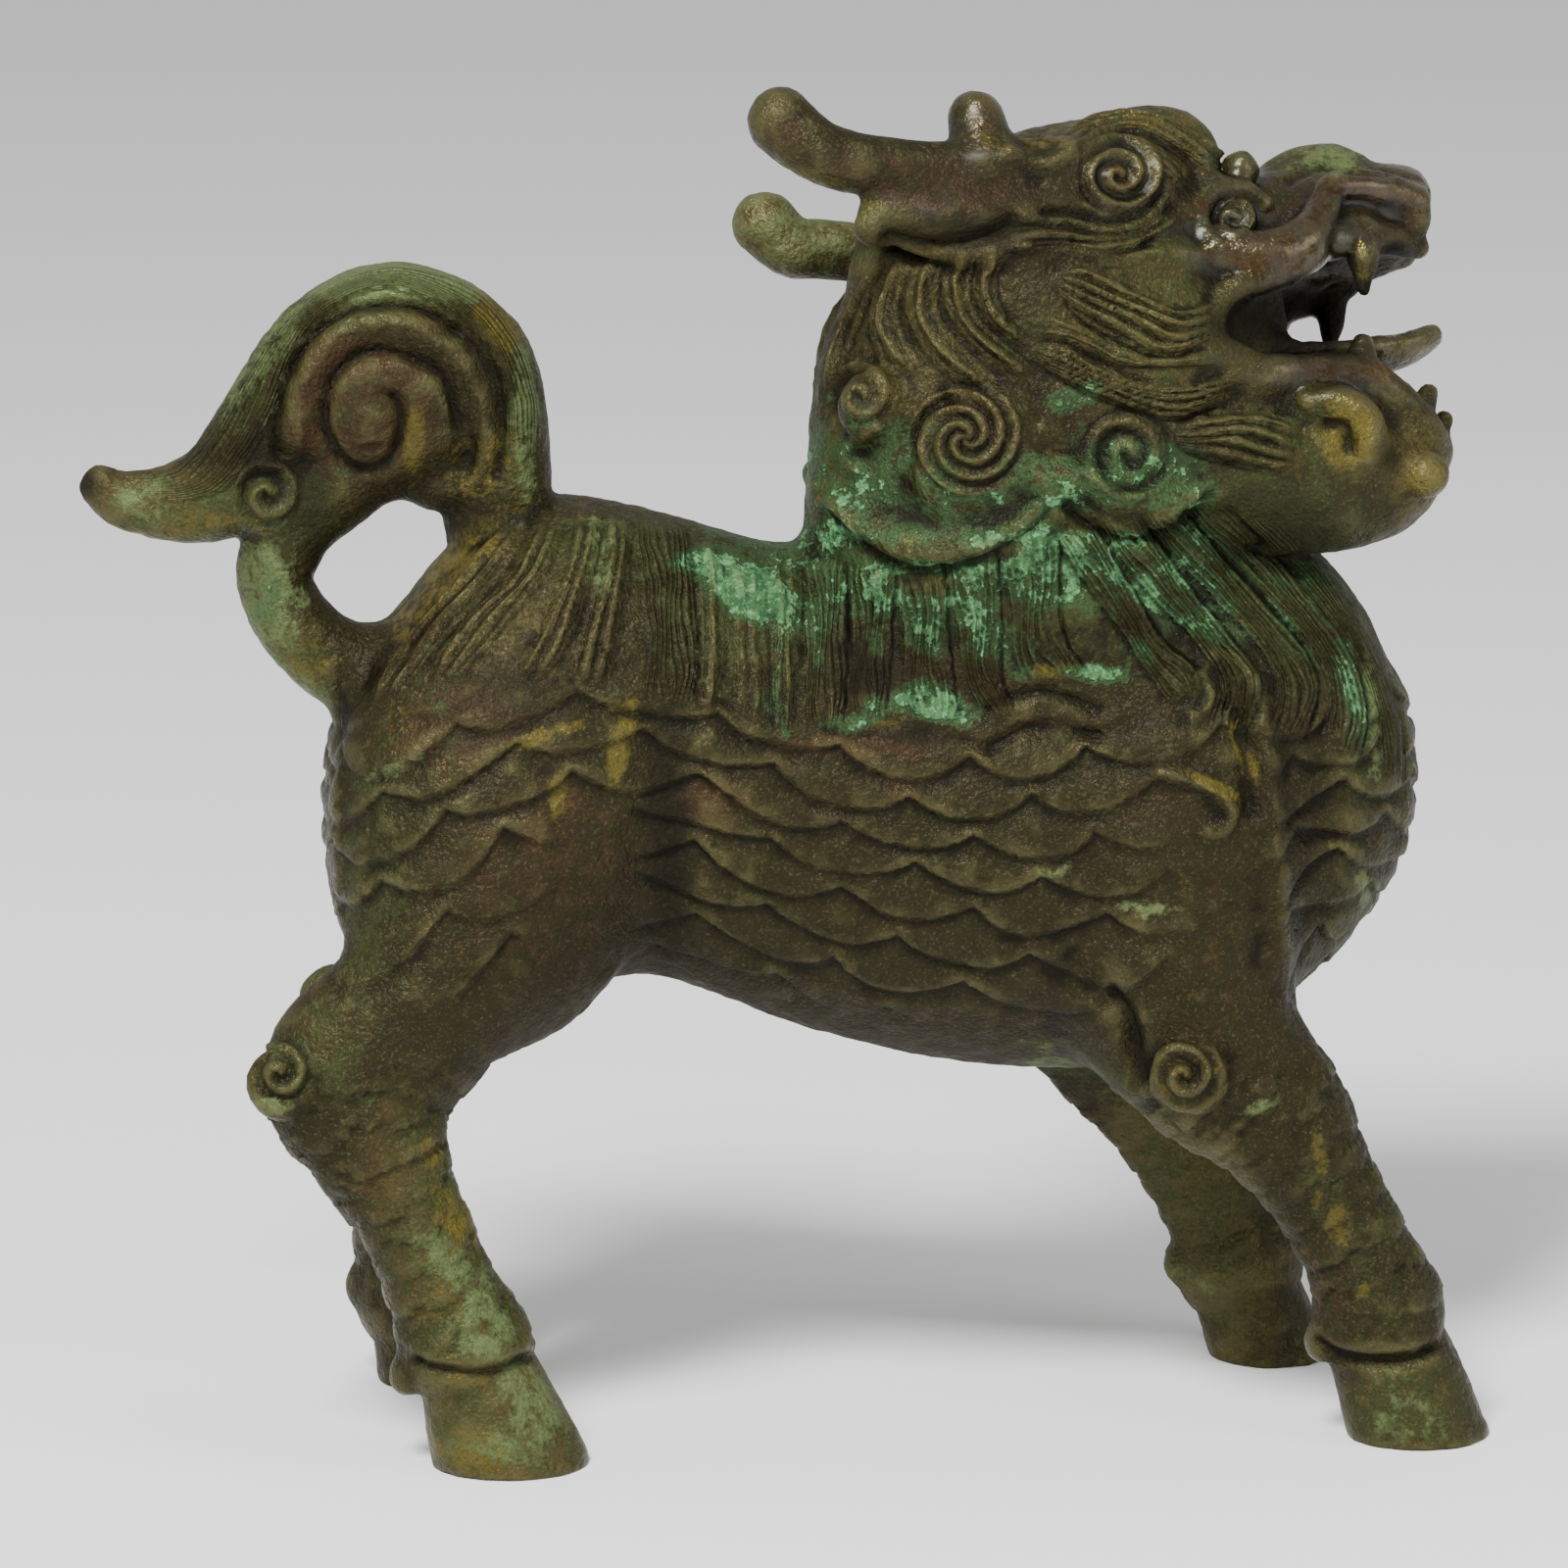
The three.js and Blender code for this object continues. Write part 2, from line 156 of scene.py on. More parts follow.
def limb(wax, rows, blend, place=upright, method=press, step=1.0):
    """A form swept along a line. Each row is x, y, z, radius and half width across Y."""
    rows = [list(row) + [row[3]] * (5 - len(row)) for row in rows]
    length = np.linalg.norm(np.diff(np.array(rows)[:, :3], axis=0), axis=1).sum()
    path = curve(rows, max(len(rows), int(length / step) + 2)).astype(np.float32)
    path[:, 3:] = np.maximum(path[:, 3:], 0.15)
    spread = path[:, 3:].max() + blend + 1
    seen = place.out(path[:, :3])
    cells, (x, y, z) = window(seen.min(0) - spread, seen.max(0) + spread, place)
    start = np.array([c.start for c in cells])
    distance = np.full(x.shape, FAR, np.float32)
    for here, there, seen_here, seen_there in zip(path, path[1:], seen, seen[1:]):
        reach = max(here[3:].max(), there[3:].max()) + blend + 1
        low = np.floor((np.minimum(seen_here, seen_there) - reach - low_corner) / CELL).astype(int)
        high = np.ceil((np.maximum(seen_here, seen_there) + reach - low_corner) / CELL).astype(int)
        part = tuple(slice(max(a, 0), max(b, 1)) for a, b in zip(low - start, high - start))
        px, py, pz = x[part] - here[0], y[part] - here[1], z[part] - here[2]
        gone = there - here
        share = (px * gone[0] + py * gone[1] + pz * gone[2]) / (gone[:3] @ gone[:3] + 1e-6)
        share = np.clip(share, 0, 1)
        in_plane = (px - share * gone[0]) ** 2 + (pz - share * gone[2]) ** 2 + 1e-4
        across = (py - share * gone[1]) ** 2
        radius = here[3] + share * gone[3]
        half = here[4] + share * gone[4]
        near = np.sqrt(in_plane / radius ** 2 + across / half ** 2)
        steep = np.sqrt(in_plane / radius ** 4 + across / half ** 4)
        distance[part] = np.minimum(distance[part], near * (near - 1) / steep)
    method(wax, cells, distance, blend)


# Trunk, a hollow barrel with a deep chest, a sway back and a high rump.
# It is cast in bronze in one pour with everything else. Rows: x, top, bottom, half width.
body_wax = new_wax()
TRUNK = [
    [-41.7, 66.5, 50, 8], [-39.5, 71.4, 44.5, 12], [-35.5, 77.7, 41, 14.8], [-29.5, 84.4, 40.6, 16.6],
    [-21.5, 88, 41.7, 17], [-12, 86.4, 42.8, 16.2], [0, 83.1, 38.3, 16], [12, 82.2, 34.7, 16.8],
    [24, 83, 33.2, 17.8], [34, 84.5, 33.6, 18], [42, 85, 36.2, 17.4], [48.5, 82.9, 40.6, 15.4],
    [53.5, 77.8, 45.6, 12.2], [57.4, 70.4, 51, 8],
]
RUMP_X = -42.3
CHEST_X = 59.4
BLUNT = 14.0                               # half height below which the ends round off

profile = curve(TRUNK, 200)
profile_x = np.concatenate([[RUMP_X - 2, RUMP_X], profile[:, 0], [CHEST_X, CHEST_X + 2]])
half_height = (profile[:, 1] - profile[:, 2]) / 2
rump_slope = half_height[0] ** 2 / (profile[0, 0] - RUMP_X)
chest_slope = half_height[-1] ** 2 / (CHEST_X - profile[-1, 0])
square_height = np.concatenate([[-2 * rump_slope, 0], half_height ** 2, [0, -2 * chest_slope]])
middle_height = (profile[:, 1] + profile[:, 2]) / 2
cells, (x, y, z) = window(np.array([-47.0, -23, 25]), np.array([64.0, 23, 94]), upright)
line_x = x[:, 0, 0]
square = np.interp(line_x, profile_x, square_height)
flatness = np.interp(line_x, profile[:, 0], half_height / profile[:, 3])
centre_z = np.interp(line_x, profile[:, 0], middle_height)
full = np.maximum(square, BLUNT ** 2)
wanted = square / full


def down_x(values):
    return values.astype(np.float32)[:, None, None]


drop = z - down_x(centre_z)
level = (drop ** 2 + down_x(flatness ** 2) * y ** 2) / down_x(full) - down_x(wanted)
slope_z = 2 * drop / down_x(full)
slope_y = 2 * down_x(flatness ** 2) * y / down_x(full)
slope_x = down_x(np.gradient(wanted, line_x)) + slope_z * down_x(np.gradient(centre_z, line_x))
steep = np.sqrt(slope_x ** 2 + slope_y ** 2 + slope_z ** 2)
press(body_wax, cells, level / np.maximum(steep, 0.05), 1.0)

# Thighs and shoulders, rounded masses that stand proud of the barrel on both sides.
for side in SIDES:
    ball(body_wax, (-27.6, side * 8.6, 57), (14.0, 10.0, 19), 3.0)
    ball(body_wax, (35, side * 8.6, 53), (11.5, 10.4, 21), 4.0)
    limb(body_wax, [[-12.2, side * 19.4, 76, 1.5], [-12.6, side * 19, 68, 2.4], [-12.6, side * 18.2, 58, 2.8],
                    [-13.0, side * 16.6, 49, 2.2]], 3.5, method=carve)
    limb(body_wax, [[48.6, side * 17.2, 70, 1.2], [48.4, side * 16.8, 62, 1.9], [49.0, side * 15.6, 52, 2.2],
                    [50.4, side * 12.6, 43, 2]], 3.0, method=carve)

# Legs, solid bronze, striding: the left pair stands nearer the middle than the right pair.
# Rows: x, z, radius along, share of the stance, half width. The last swelling is the hoof's collar.
STANCE_HALF = 14.8
LEGS = {
    "right hind": (-1, [
        [-26, 62, 15, 0.62, 8.5], [-29.6, 51, 10.8, 0.75, 8.2], [-34.6, 43.2, 8.3, 0.88, 6.8],
        [-40.4, 37.2, 8.7, 0.96, 5.6], [-39.4, 32.2, 6.8, 1, 5.1], [-37.0, 26.2, 5.2, 1, 4.8],
        [-34.9, 21.5, 4.9, 1, 4.6], [-33.3, 17.2, 5.0, 1, 4.7], [-32.0, 14.0, 5.4, 1, 5.0],
        [-31.0, 11.6, 6.1, 1, 5.6], [-29.9, 8.9, 5.5, 1, 5.0], [-28.8, 5.4, 6.1, 1, 5.5],
        [-26.7, -1, 7.2, 1, 6.2]]),
    "left hind": (1, [
        [-25, 62, 14, 0.62, 8.5], [-28, 51, 10.8, 0.75, 8], [-31.4, 43.4, 8.4, 0.88, 6.6],
        [-34.8, 37.2, 7, 0.96, 5.6], [-36.4, 32, 6.2, 1, 5.1], [-36.4, 26.2, 5.5, 1, 4.8],
        [-35.6, 21.5, 5.1, 1, 4.7], [-34.9, 17.2, 5.1, 1, 4.8], [-34.2, 12.4, 5.4, 1, 5.2],
        [-33.4, 8.6, 6.5, 1, 6.2], [-32.8, 6.4, 5.6, 1, 5.6], [-31, -1, 6.4, 1, 6.4]]),
    "right fore": (-1, [
        [34.0, 54, 12.0, 0.55, 8.5], [34.8, 44.5, 9.8, 0.75, 7.8], [38.6, 37.0, 8.6, 0.86, 6.6],
        [44.2, 31.2, 6.8, 0.9, 5.6], [48.2, 25.4, 5.4, 0.93, 4.9], [51.0, 20.4, 5.1, 0.95, 4.7],
        [53.1, 16.2, 5.2, 0.95, 4.9], [54.4, 12.4, 6.1, 0.95, 5.7], [54.8, 9.6, 5.5, 0.95, 5.1],
        [56.3, 5.8, 5.9, 0.95, 5.5], [58.6, -1, 6.5, 0.95, 6.1]]),
    "left fore": (1, [
        [31, 50, 13, 0.6, 8.2], [32.2, 41, 11.8, 0.78, 7], [35.4, 33, 9.2, 0.9, 5.8],
        [39.2, 25.6, 7, 0.98, 5], [42.6, 18.4, 5.8, 1, 4.7], [44.9, 12.4, 5.3, 1, 4.8],
        [46, 9.4, 6.3, 1, 5.8], [46.7, 7, 5.3, 1, 5.3], [49.5, -1, 5.8, 1, 6.1]]),
}
leg_paths = {}
for name, (side, rows) in LEGS.items():
    stations = [[lx, side * share * STANCE_HALF, lz, r, w] for lx, lz, r, share, w in rows]
    limb(body_wax, stations, 3.0)
    leg_paths[name] = curve(stations, 160)
    spur_x, spur_z, spur_radius = rows[-4][:3]
    spur = (spur_x - spur_radius + 0.6, side * STANCE_HALF, spur_z - 3)
    ball(body_wax, spur, (1.5, 1.9, 1.9), 1.2)

# Joint curls, a snail curl on the outside of each hock and knee.
JOINT_CURLS = [(-47.2, 37.4, -1, 3.0), (-41, 36.6, 1, 4.2), (35.6, 36.4, -1, 5.0), (35.4, 36.0, 1, 5.4)]
for curl_x, curl_z, side, out in JOINT_CURLS:
    ball(body_wax, (curl_x, side * (STANCE_HALF + out), curl_z), (3.4, 2.0, 3.4), 0.8)

# Neck, a thick column that carries the mane. Rows: z, x, y, half length, half width.
NECK = [[66, 24, -1, 21.6, 13.6], [74, 23.8, -1, 21.4, 14.2], [82, 23.4, -1, 21.4, 14.6],
        [92, 24, -0.5, 21.7, 14.2], [101, 25.4, 0.5, 21.6, 13.4], [109, 27.4, 2, 18.7, 12]]
NECK_TOP = 111.0
NECK_FOOT = 68.0
neck = curve(NECK, 80)
cells, (x, y, z) = window(np.array([-2.0, -20, 62]), np.array([52.0, 20, 114]), upright)
line_z = z[0, 0, :]
neck_x, neck_y, neck_half, neck_wide = (
    np.interp(line_z, neck[:, 0], neck[:, n]).astype(np.float32) for n in range(1, 5))
near = np.sqrt(((x - neck_x) / neck_half) ** 2 + ((y - neck_y) / neck_wide) ** 2) + 1e-4
steep = np.sqrt(((x - neck_x) / neck_half ** 2) ** 2 + ((y - neck_y) / neck_wide ** 2) ** 2) + 1e-5
distance = np.maximum(near * (near - 1) / steep, np.maximum(z - NECK_TOP, NECK_FOOT - z))
press(body_wax, cells, distance, 3.0)

# Mane curls, low bosses round the neck that take the spiral curls.
# Rows: x, z, distance out, radius.
MANE_CURLS = [(17.4, 92.4, 12.8, 6.6), (7.6, 97.2, 8.5, 3.4), (32.2, 91.2, 12.8, 4.8)]
for curl_x, curl_z, out, radius in MANE_CURLS:
    for side in SIDES:
        ball(body_wax, (curl_x, side * out, curl_z), (radius, 2.6, radius), 1.4)

# Mane hem, a thick scalloped edge like a collar of overlapping leaves.
# Rows: x, z, distance out, radius, half width.
HEM = [[3.4, 89, 4, 1.2, 1.4], [5.5, 86.8, 8.4, 1.5, 1.8], [9.5, 85.2, 11.6, 1.6, 1.8], [14, 84.8, 13.4, 1.7, 1.8],
       [19, 86, 14.6, 1.6, 1.8], [23, 88.6, 15, 1.4, 1.6]]
HEM_FRONT = [[22, 91.4, 14.6, 1.4, 1.6], [26, 91.2, 15, 1.5, 1.7], [30, 89.4, 15, 1.6, 1.8], [34, 89, 14.4, 1.6, 1.8],
             [38, 90.2, 13, 1.4, 1.6]]
for rows in (HEM, HEM_FRONT):
    for side in SIDES:
        limb(body_wax, [[hx, side * out, hz, r, w] for hx, hz, out, r, w in rows], 1.6)

# Tail, cast solid: a stalk from the rump, a plume rolled into a disc that touches the back,
# and a swept tip. Rows: x, y, z, radius, half width.
STALK = [[-37, 0, 71.6, 4.6, 4.6], [-41.6, 0, 73.2, 4, 4.2], [-45.2, 0, 76.6, 3.6, 3.8],
         [-47, 0, 80.8, 3.5, 3.6], [-45.6, 0, 85.4, 4.0, 3.8], [-42.6, 0, 89.0, 4.6, 4.6], [-38, 0, 93, 5, 5]]
PLUME = [[-26.4, 0, 86, 5.0, 5.0], [-26.2, 0, 95, 4.5, 5.6], [-28.4, 0, 101.8, 4.5, 5.8],
         [-35.4, 0, 105.3, 4.4, 5.8], [-42.2, 0, 102.4, 4.7, 5.6], [-46.8, 0, 95.5, 4.9, 5.0],
         [-50.8, 0, 89.9, 4.8, 4.4], [-55.6, 0, 88.1, 3.7, 3.3], [-60.4, 0, 88.3, 2.7, 2.4],
         [-62.7, 0, 89.6, 2, 1.8]]
limb(body_wax, STALK, 2.5)
limb(body_wax, PLUME, 1.2)
ball(body_wax, (-36.4, 0, 98.0), (11.0, 7.4, 9.9), 1.0)
ball(body_wax, (-31, 0, 90.0), (4.2, 4.6, 3.2), 1.2)
for side in SIDES:
    ball(body_wax, (-47.4, side * 2.6, 88.6), (3.4, 2.6, 3.4), 1.0)

# Head, hollow cast with the neck, leaning to the beast's left and turned a little the same way.
# It is modelled upright about its own pivot and is the same on both sides, but for one horn.
head_wax = new_wax()
HEAD_ROLL = math.radians(-30)
HEAD_YAW = math.radians(4)
roll = np.array([[1, 0, 0], [0, math.cos(HEAD_ROLL), -math.sin(HEAD_ROLL)],
                 [0, math.sin(HEAD_ROLL), math.cos(HEAD_ROLL)]])
yaw = np.array([[math.cos(HEAD_YAW), -math.sin(HEAD_YAW), 0],
                [math.sin(HEAD_YAW), math.cos(HEAD_YAW), 0], [0, 0, 1]])
head = Place((30, 0, 104), yaw @ roll)


def head_limb(rows, blend, method=press):
    limb(head_wax, rows, blend, head, method, step=0.8)


def head_ball(centre, radii, blend, method=press):
    ball(head_wax, centre, radii, blend, head, method)


head_ball((-4, 0, 2.5), (20, 12.2, 15), 3)
head_ball((0.2, 0, 8), (12.4, 11.2, 10.4), 3)
head_limb([[4, 0, 6.6, 8, 9.5], [12, 0, 7.2, 5.4, 8.4], [20, 0, 8.6, 5.0, 7.4], [26.4, 0, 8.6, 4.4, 6.4]], 2)
head_limb([[0, 0, -8, 9, 10.4], [10, 0, -13.8, 7.8, 8.8], [18, 0, -15, 8.4, 8.2], [23.2, 0, -16, 6.4, 6.8]], 2)
head_ball((21.6, 0, 11.8), (6.4, 4.2, 4.7), 2)
head_ball((28.6, 0, 10.6), (3.4, 5.4, 3.2), 1.5)
head_ball((26.2, 0, -14.8), (4, 5.4, 4.6), 2)

for side in SIDES:
    head_ball((3.4, side * 7.4, -5), (6, 4.2, 6.6), 2)
    head_ball((17, side * 6, 6), (8, 2.4, 3), 1.5)

# Mouth, roared open through both cheeks, with the palate arched and a hollow under the tongue.
head_limb([[11.5, 0, -2.2, 3.4, 20], [17, 0, -1.8, 4.2, 20], [24, 0, -2.4, 5.4, 20], [34, 0, -3, 6.6, 20]],
          0.8, carve)
head_limb([[7, 0, -3, 3.4, 5.4], [12, 0, -1.6, 3.8, 5.8], [20, 0, 1.0, 3.6, 5.0], [27, 0, 1.6, 3.2, 3.8]], 1.0, carve)
head_limb([[15, 0, -7.2, 1.4, 4], [20, 0, -7.8, 1.8, 4.0], [25, 0, -10.4, 1.6, 2.8]], 1.0, carve)

for side in SIDES:
    reach = 0 if side < 0 else 2.2         # the left horn ends sooner and sits higher
    lift = 0 if side < 0 else 1.2
    tuck = 1 if side < 0 else 0.7          # the left lip is drawn in at the nose

    def across(rows):
        return [[row[0], side * row[1]] + list(row[2:]) for row in rows]

    # Lips, a thick roll that runs back from the nose, dips and curls round the cheek.
    LIP = [[29.4, 4.6, 9, 1.4], [25.6, 6.8, 9.5, 1.5], [21, 8.0, 9.0, 1.5], [19.2, 8.7, 6.2, 1.6],
           [16.6, 9.2, 2.9, 2.3], [12.6, 9.5, 1.6, 2.4], [8.9, 9.4, 2.8, 1.9], [7.4, 9.2, 5.6, 1.4],
           [8.8, 9.1, 8.2, 1.2], [11.8, 9.0, 8.6, 1.0], [14.0, 8.8, 7.2, 0.8]]
    head_ball((11, side * 7.6, 5.8), (3.6, 1.5, 3.4), 1.0)
    head_limb(across(LIP), 0.5)
    head_limb(across([[18.6, 7.4, 3.6, 1.8], [23.2, 6.8, 4.4, 1.6], [26.6, 5.2 * tuck, 4.9 + lift, 1.4],
                      [28.8, 3.0 * tuck, 5.4 + lift, 1.4]]), 1.0)
    head_limb(across([[7.4, 8.8, -6.6, 1.8], [11, 8.8, -9.2, 1.8], [16, 8.2, -9.0, 1.8], [21, 7.6, -9.0, 1.7],
                      [25, 6.2, -11.2, 1.6], [27.8, 4.4, -13.8, 1.5], [29, 1.4, -14.6, 1.4]]), 2.2)
    head_limb(across([[9.4, 12, -4.6, 2.2], [9.0, 6, -4.4, 2.6]]), 0.8, carve)
    head_limb([[10.4, side * 8, -4.2, 2.4, 6], [13.4, side * 8, -4.4, 3.2, 6], [18, side * 8, -4.2, 3.5, 6],
               [23, side * 8, -4.4, 3.5, 6]], 0.8, carve)
    # The rim that rounds the mouth's corner, from the upper lip down to the lower one.
    head_limb(across([[18.0, 8.4, 2.2, 1.4], [15.1, 9.0, 0.4, 1.5], [11.6, 9.4, -0.8, 1.5], [8.9, 9.6, -2.4, 1.3],
                      [7.7, 9.6, -4.6, 1.2], [8.1, 9.3, -6.8, 1.3], [10.4, 8.9, -8.8, 1.4]]), 0.7)
    head_ball((11.0, side * 9.1, 5.6), (1.9, 1.5, 1.9), 0.3)
    # Chin boss, and the raised leaf on the side of the jaw.
    head_ball((27.0, side * 5.0 * tuck, -18.4 + lift), (2.3, 2.3, 2.2), 0.6)
    head_limb(across([[16.2, 8.0, -12.2, 1.5], [19.4, 8.0, -13.2, 2.2], [21.6, 7.2, -16.2, 1.9]]), 0.9)
    # Nostril wing and the blob at the front of the lip.
    head_ball((29.0, side * 4.0 * tuck, 7.4), (1.8, 1.8, 2.0), 0.8)
    head_ball((29.6, side * 2.6 * tuck, 5.0 + lift), (1.2, 1.3, 1.1), 0.6)
    head_ball((30.6, side * 2.6, 10.2), (1.0, 1.0, 0.9), 0.6, carve)
    # Fangs and the stubs of lower teeth.
    head_limb(across([[23.2, 6.8, 4.8, 1.9], [23.2, 7.0, 2.2, 1.4], [22.8, 7.0, -0.8, 0.6]]), 0.5)
    head_limb(across([[21.8, 7.4, -8, 1.5], [22, 7.4, -6.4, 1.0]]), 0.5)
    head_limb(across([[27.2, 4.2, -12.8, 1.5], [28.6, 4.2, -10.0, 0.8]]), 0.5)
    head_limb(across([[29.0, 1.6, -14.0, 1.4], [30.4, 1.6, -11.8, 0.8]]), 0.5)
    # Eye, a round ball under a heavy brow.
    head_limb(across([[-4, 8.2, 11.2, 3.2], [3.6, 8.0, 13.9, 3.4], [7.4, 7.8, 13.4, 2.7], [8.4, 8.2, 10.4, 1.6]]), 1.6)
    head_ball((12.2, side * 8.1, 10.9), (1.75, 1.75, 1.75), 0.4)
    # Temple boss that takes the ringed curl at the root of the horn.
    head_ball((-0.3, side * 9.4, 9.7), (5.0, 2.8, 4.6), 1.0)
    # Horn, with one tine and a bulbed tip, laid back along the neck.
    head_limb(across([[2, 9.6, 9.2, 3.6], [-6, 10.8, 9.6, 3.5], [-12, 11.2, 9.8 + lift, 3.1],
                      [-18 + reach, 11.5, 9.9 + lift, 2.8], [-25 + reach, 11.9, 10.9 + lift, 2.8],
                      [-28.8 + reach, 12.1, 12.7, 2.9], [-31 + reach, 12.1, 15, 3.1]]), 1.2)
    head_limb(across([[-12.2, 11.5, 10.4, 3.2], [-12.8, 11.5, 15.1, 2.6]]), 1.2)
    # Ear, a long leaf folded flat under the horn.
    head_limb(across([[2, 9.4, 5.4, 3.0, 2.8], [-8, 10.6, 5.4, 4.4, 3.2], [-15 + reach, 11.0, 5.6, 4.6, 3.0],
                      [-20.4 + 2 * reach, 10.8, 6.4, 3.4, 2.2], [-23 + 3 * reach, 10.6, 5.0, 2.0, 1.6]]), 1.2)

# Tongue, a thick plate with a groove along it, its tip turned up beyond the lip.
head_limb([[6, 0, -5.8, 2.2, 4.2], [14, 0, -5.4, 1.7, 4.4], [22, 0, -5.2, 1.5, 4.2], [27.6, 0, -4.2, 1.4, 3],
           [30.6, 0, -3.0, 1.1, 1.8]], 0.8)
TONGUE_GROOVE = [[16, 0, -3.6, 0.5, 0.5], [22, 0, -3.7, 0.5, 0.5], [28, 0, -3.2, 0.4, 0.4]]
head_limb(TONGUE_GROOVE, 0.6, carve)

# Relief, cut into the wax with a comb and gouges before casting: hair, curls, folds and scales.
# It is laid out in the picture, and both sides of the beast take the same cuts, mirrored.
GRAIN = 0.1                                # picture millimetres for each dot of the layout
HALF_SHEET = 68.0
sheet_dots = int(2 * HALF_SHEET / GRAIN)
relief = np.zeros((sheet_dots, sheet_dots), np.float32)
hair_cover = np.zeros((sheet_dots, sheet_dots), np.float32)
comb_turns = np.zeros((sheet_dots, sheet_dots), np.float32)
combed = np.zeros((sheet_dots, sheet_dots), np.float32)
FINE_STRANDS = 1.7                         # comb lines for each strand of a tuft


def dots(values):
    return np.clip(((values + HALF_SHEET) / GRAIN).astype(int), 0, sheet_dots - 1)


def smooth_step(low, high, values):
    share = np.clip((values - low) / (high - low), 0, 1)
    return share * share * (3 - 2 * share)


def lock(first, last, strands, rise, thin=False):
    """A tuft between two guide lines from root to tip, ribbed by its strands.
    Thin strands are narrow ridges that stand apart, with a smooth hollow between them."""
    length = np.linalg.norm(np.diff(first, axis=0), axis=1).sum() + np.linalg.norm(np.diff(last, axis=0), axis=1).sum()
    count = int(length / 0.12)
    a, b = curve(first, count), curve(last, count)
    across = np.linspace(0, 1, 60 + 24 * strands)[None, :, None]
    spots = a[:, None] * (1 - across) + b[:, None] * across
    across = across[:, :, 0]
    along = np.linspace(0, 1, len(a))[:, None]
    wander = 0.05 * np.sin(9 * along + 5 * across) * np.sin(math.pi * across)
    rib = np.abs(np.sin(math.pi * strands * (across + wander)))
    rib = 1.3 - 1.5 * rib ** 1.4 if thin else rib ** 0.8
    swell = np.clip(np.sin(math.pi * across), 0, 1) ** 0.4
    height = rise * (0.62 * swell + 0.5 * rib * swell - 0.3)
    present = smooth_step(0, 0.25 if thin else 0.08, along) * smooth_step(1.0, 0.86, along) * np.ones_like(across)
    row, column = dots(spots[..., 1]).ravel(), dots(spots[..., 0]).ravel()
    share = present.ravel()
    relief[row, column] = relief[row, column] * (1 - share) + height.ravel() * share
    hair_cover[row, column] = np.maximum(hair_cover[row, column], share)
    comb_turns[row, column] = (FINE_STRANDS * strands * (across + 1.6 * wander)).ravel()
    combed[row, column] = ((0.3 if thin else 1.0) * present * smooth_step(0, 0.5, swell)).ravel()


def near_dots(low, high):
    """The dots between two corners of the picture, and their places."""
    rows = slice(*dots(np.array([low[1], high[1]])))
    columns = slice(*dots(np.array([low[0], high[0]])))
    t, s = np.mgrid[rows, columns] * GRAIN - HALF_SHEET
    return (rows, columns), s, t


def gouge(line, width, depth):
    """A groove along a line, or a ridge where the depth is below zero. It fades at both ends."""
    path = curve(line, 40 * len(line))
    at, s, t = near_dots(path.min(0) - 3 * width, path.max(0) + 3 * width)
    best = np.full(s.shape, 99.0)
    where = np.zeros(s.shape)
    for n, (here_s, here_t) in enumerate(path):
        gap = (s - here_s) ** 2 + (t - here_t) ** 2
        closer = gap < best
        best[closer] = gap[closer]
        where[closer] = n / (len(path) - 1)
    fade = smooth_step(0, 0.08, where) * smooth_step(1, 0.9, where)
    relief[at] -= depth * fade * np.exp(-best / width ** 2)


def coil(centre, radius, turns, rise, arms=1, squash=1.0):
    """A spiral curl: round ridges that wind in to the middle."""
    at, s, t = near_dots(np.array(centre) - radius, np.array(centre) + radius)
    s, t = s - centre[0], (t - centre[1]) / squash
    share = np.hypot(s, t) / radius
    winding = turns * share - arms * np.arctan2(t, s) / (2 * math.pi)
    ridge = 0.5 + 0.5 * np.cos(2 * math.pi * winding)
    height = rise * (ridge ** 1.3 - 0.45)
    present = smooth_step(1.0, 0.9, share)
    relief[at] = relief[at] * (1 - present) + height * present
    hair_cover[at] = np.maximum(hair_cover[at], present)
    combed[at] *= 1 - present


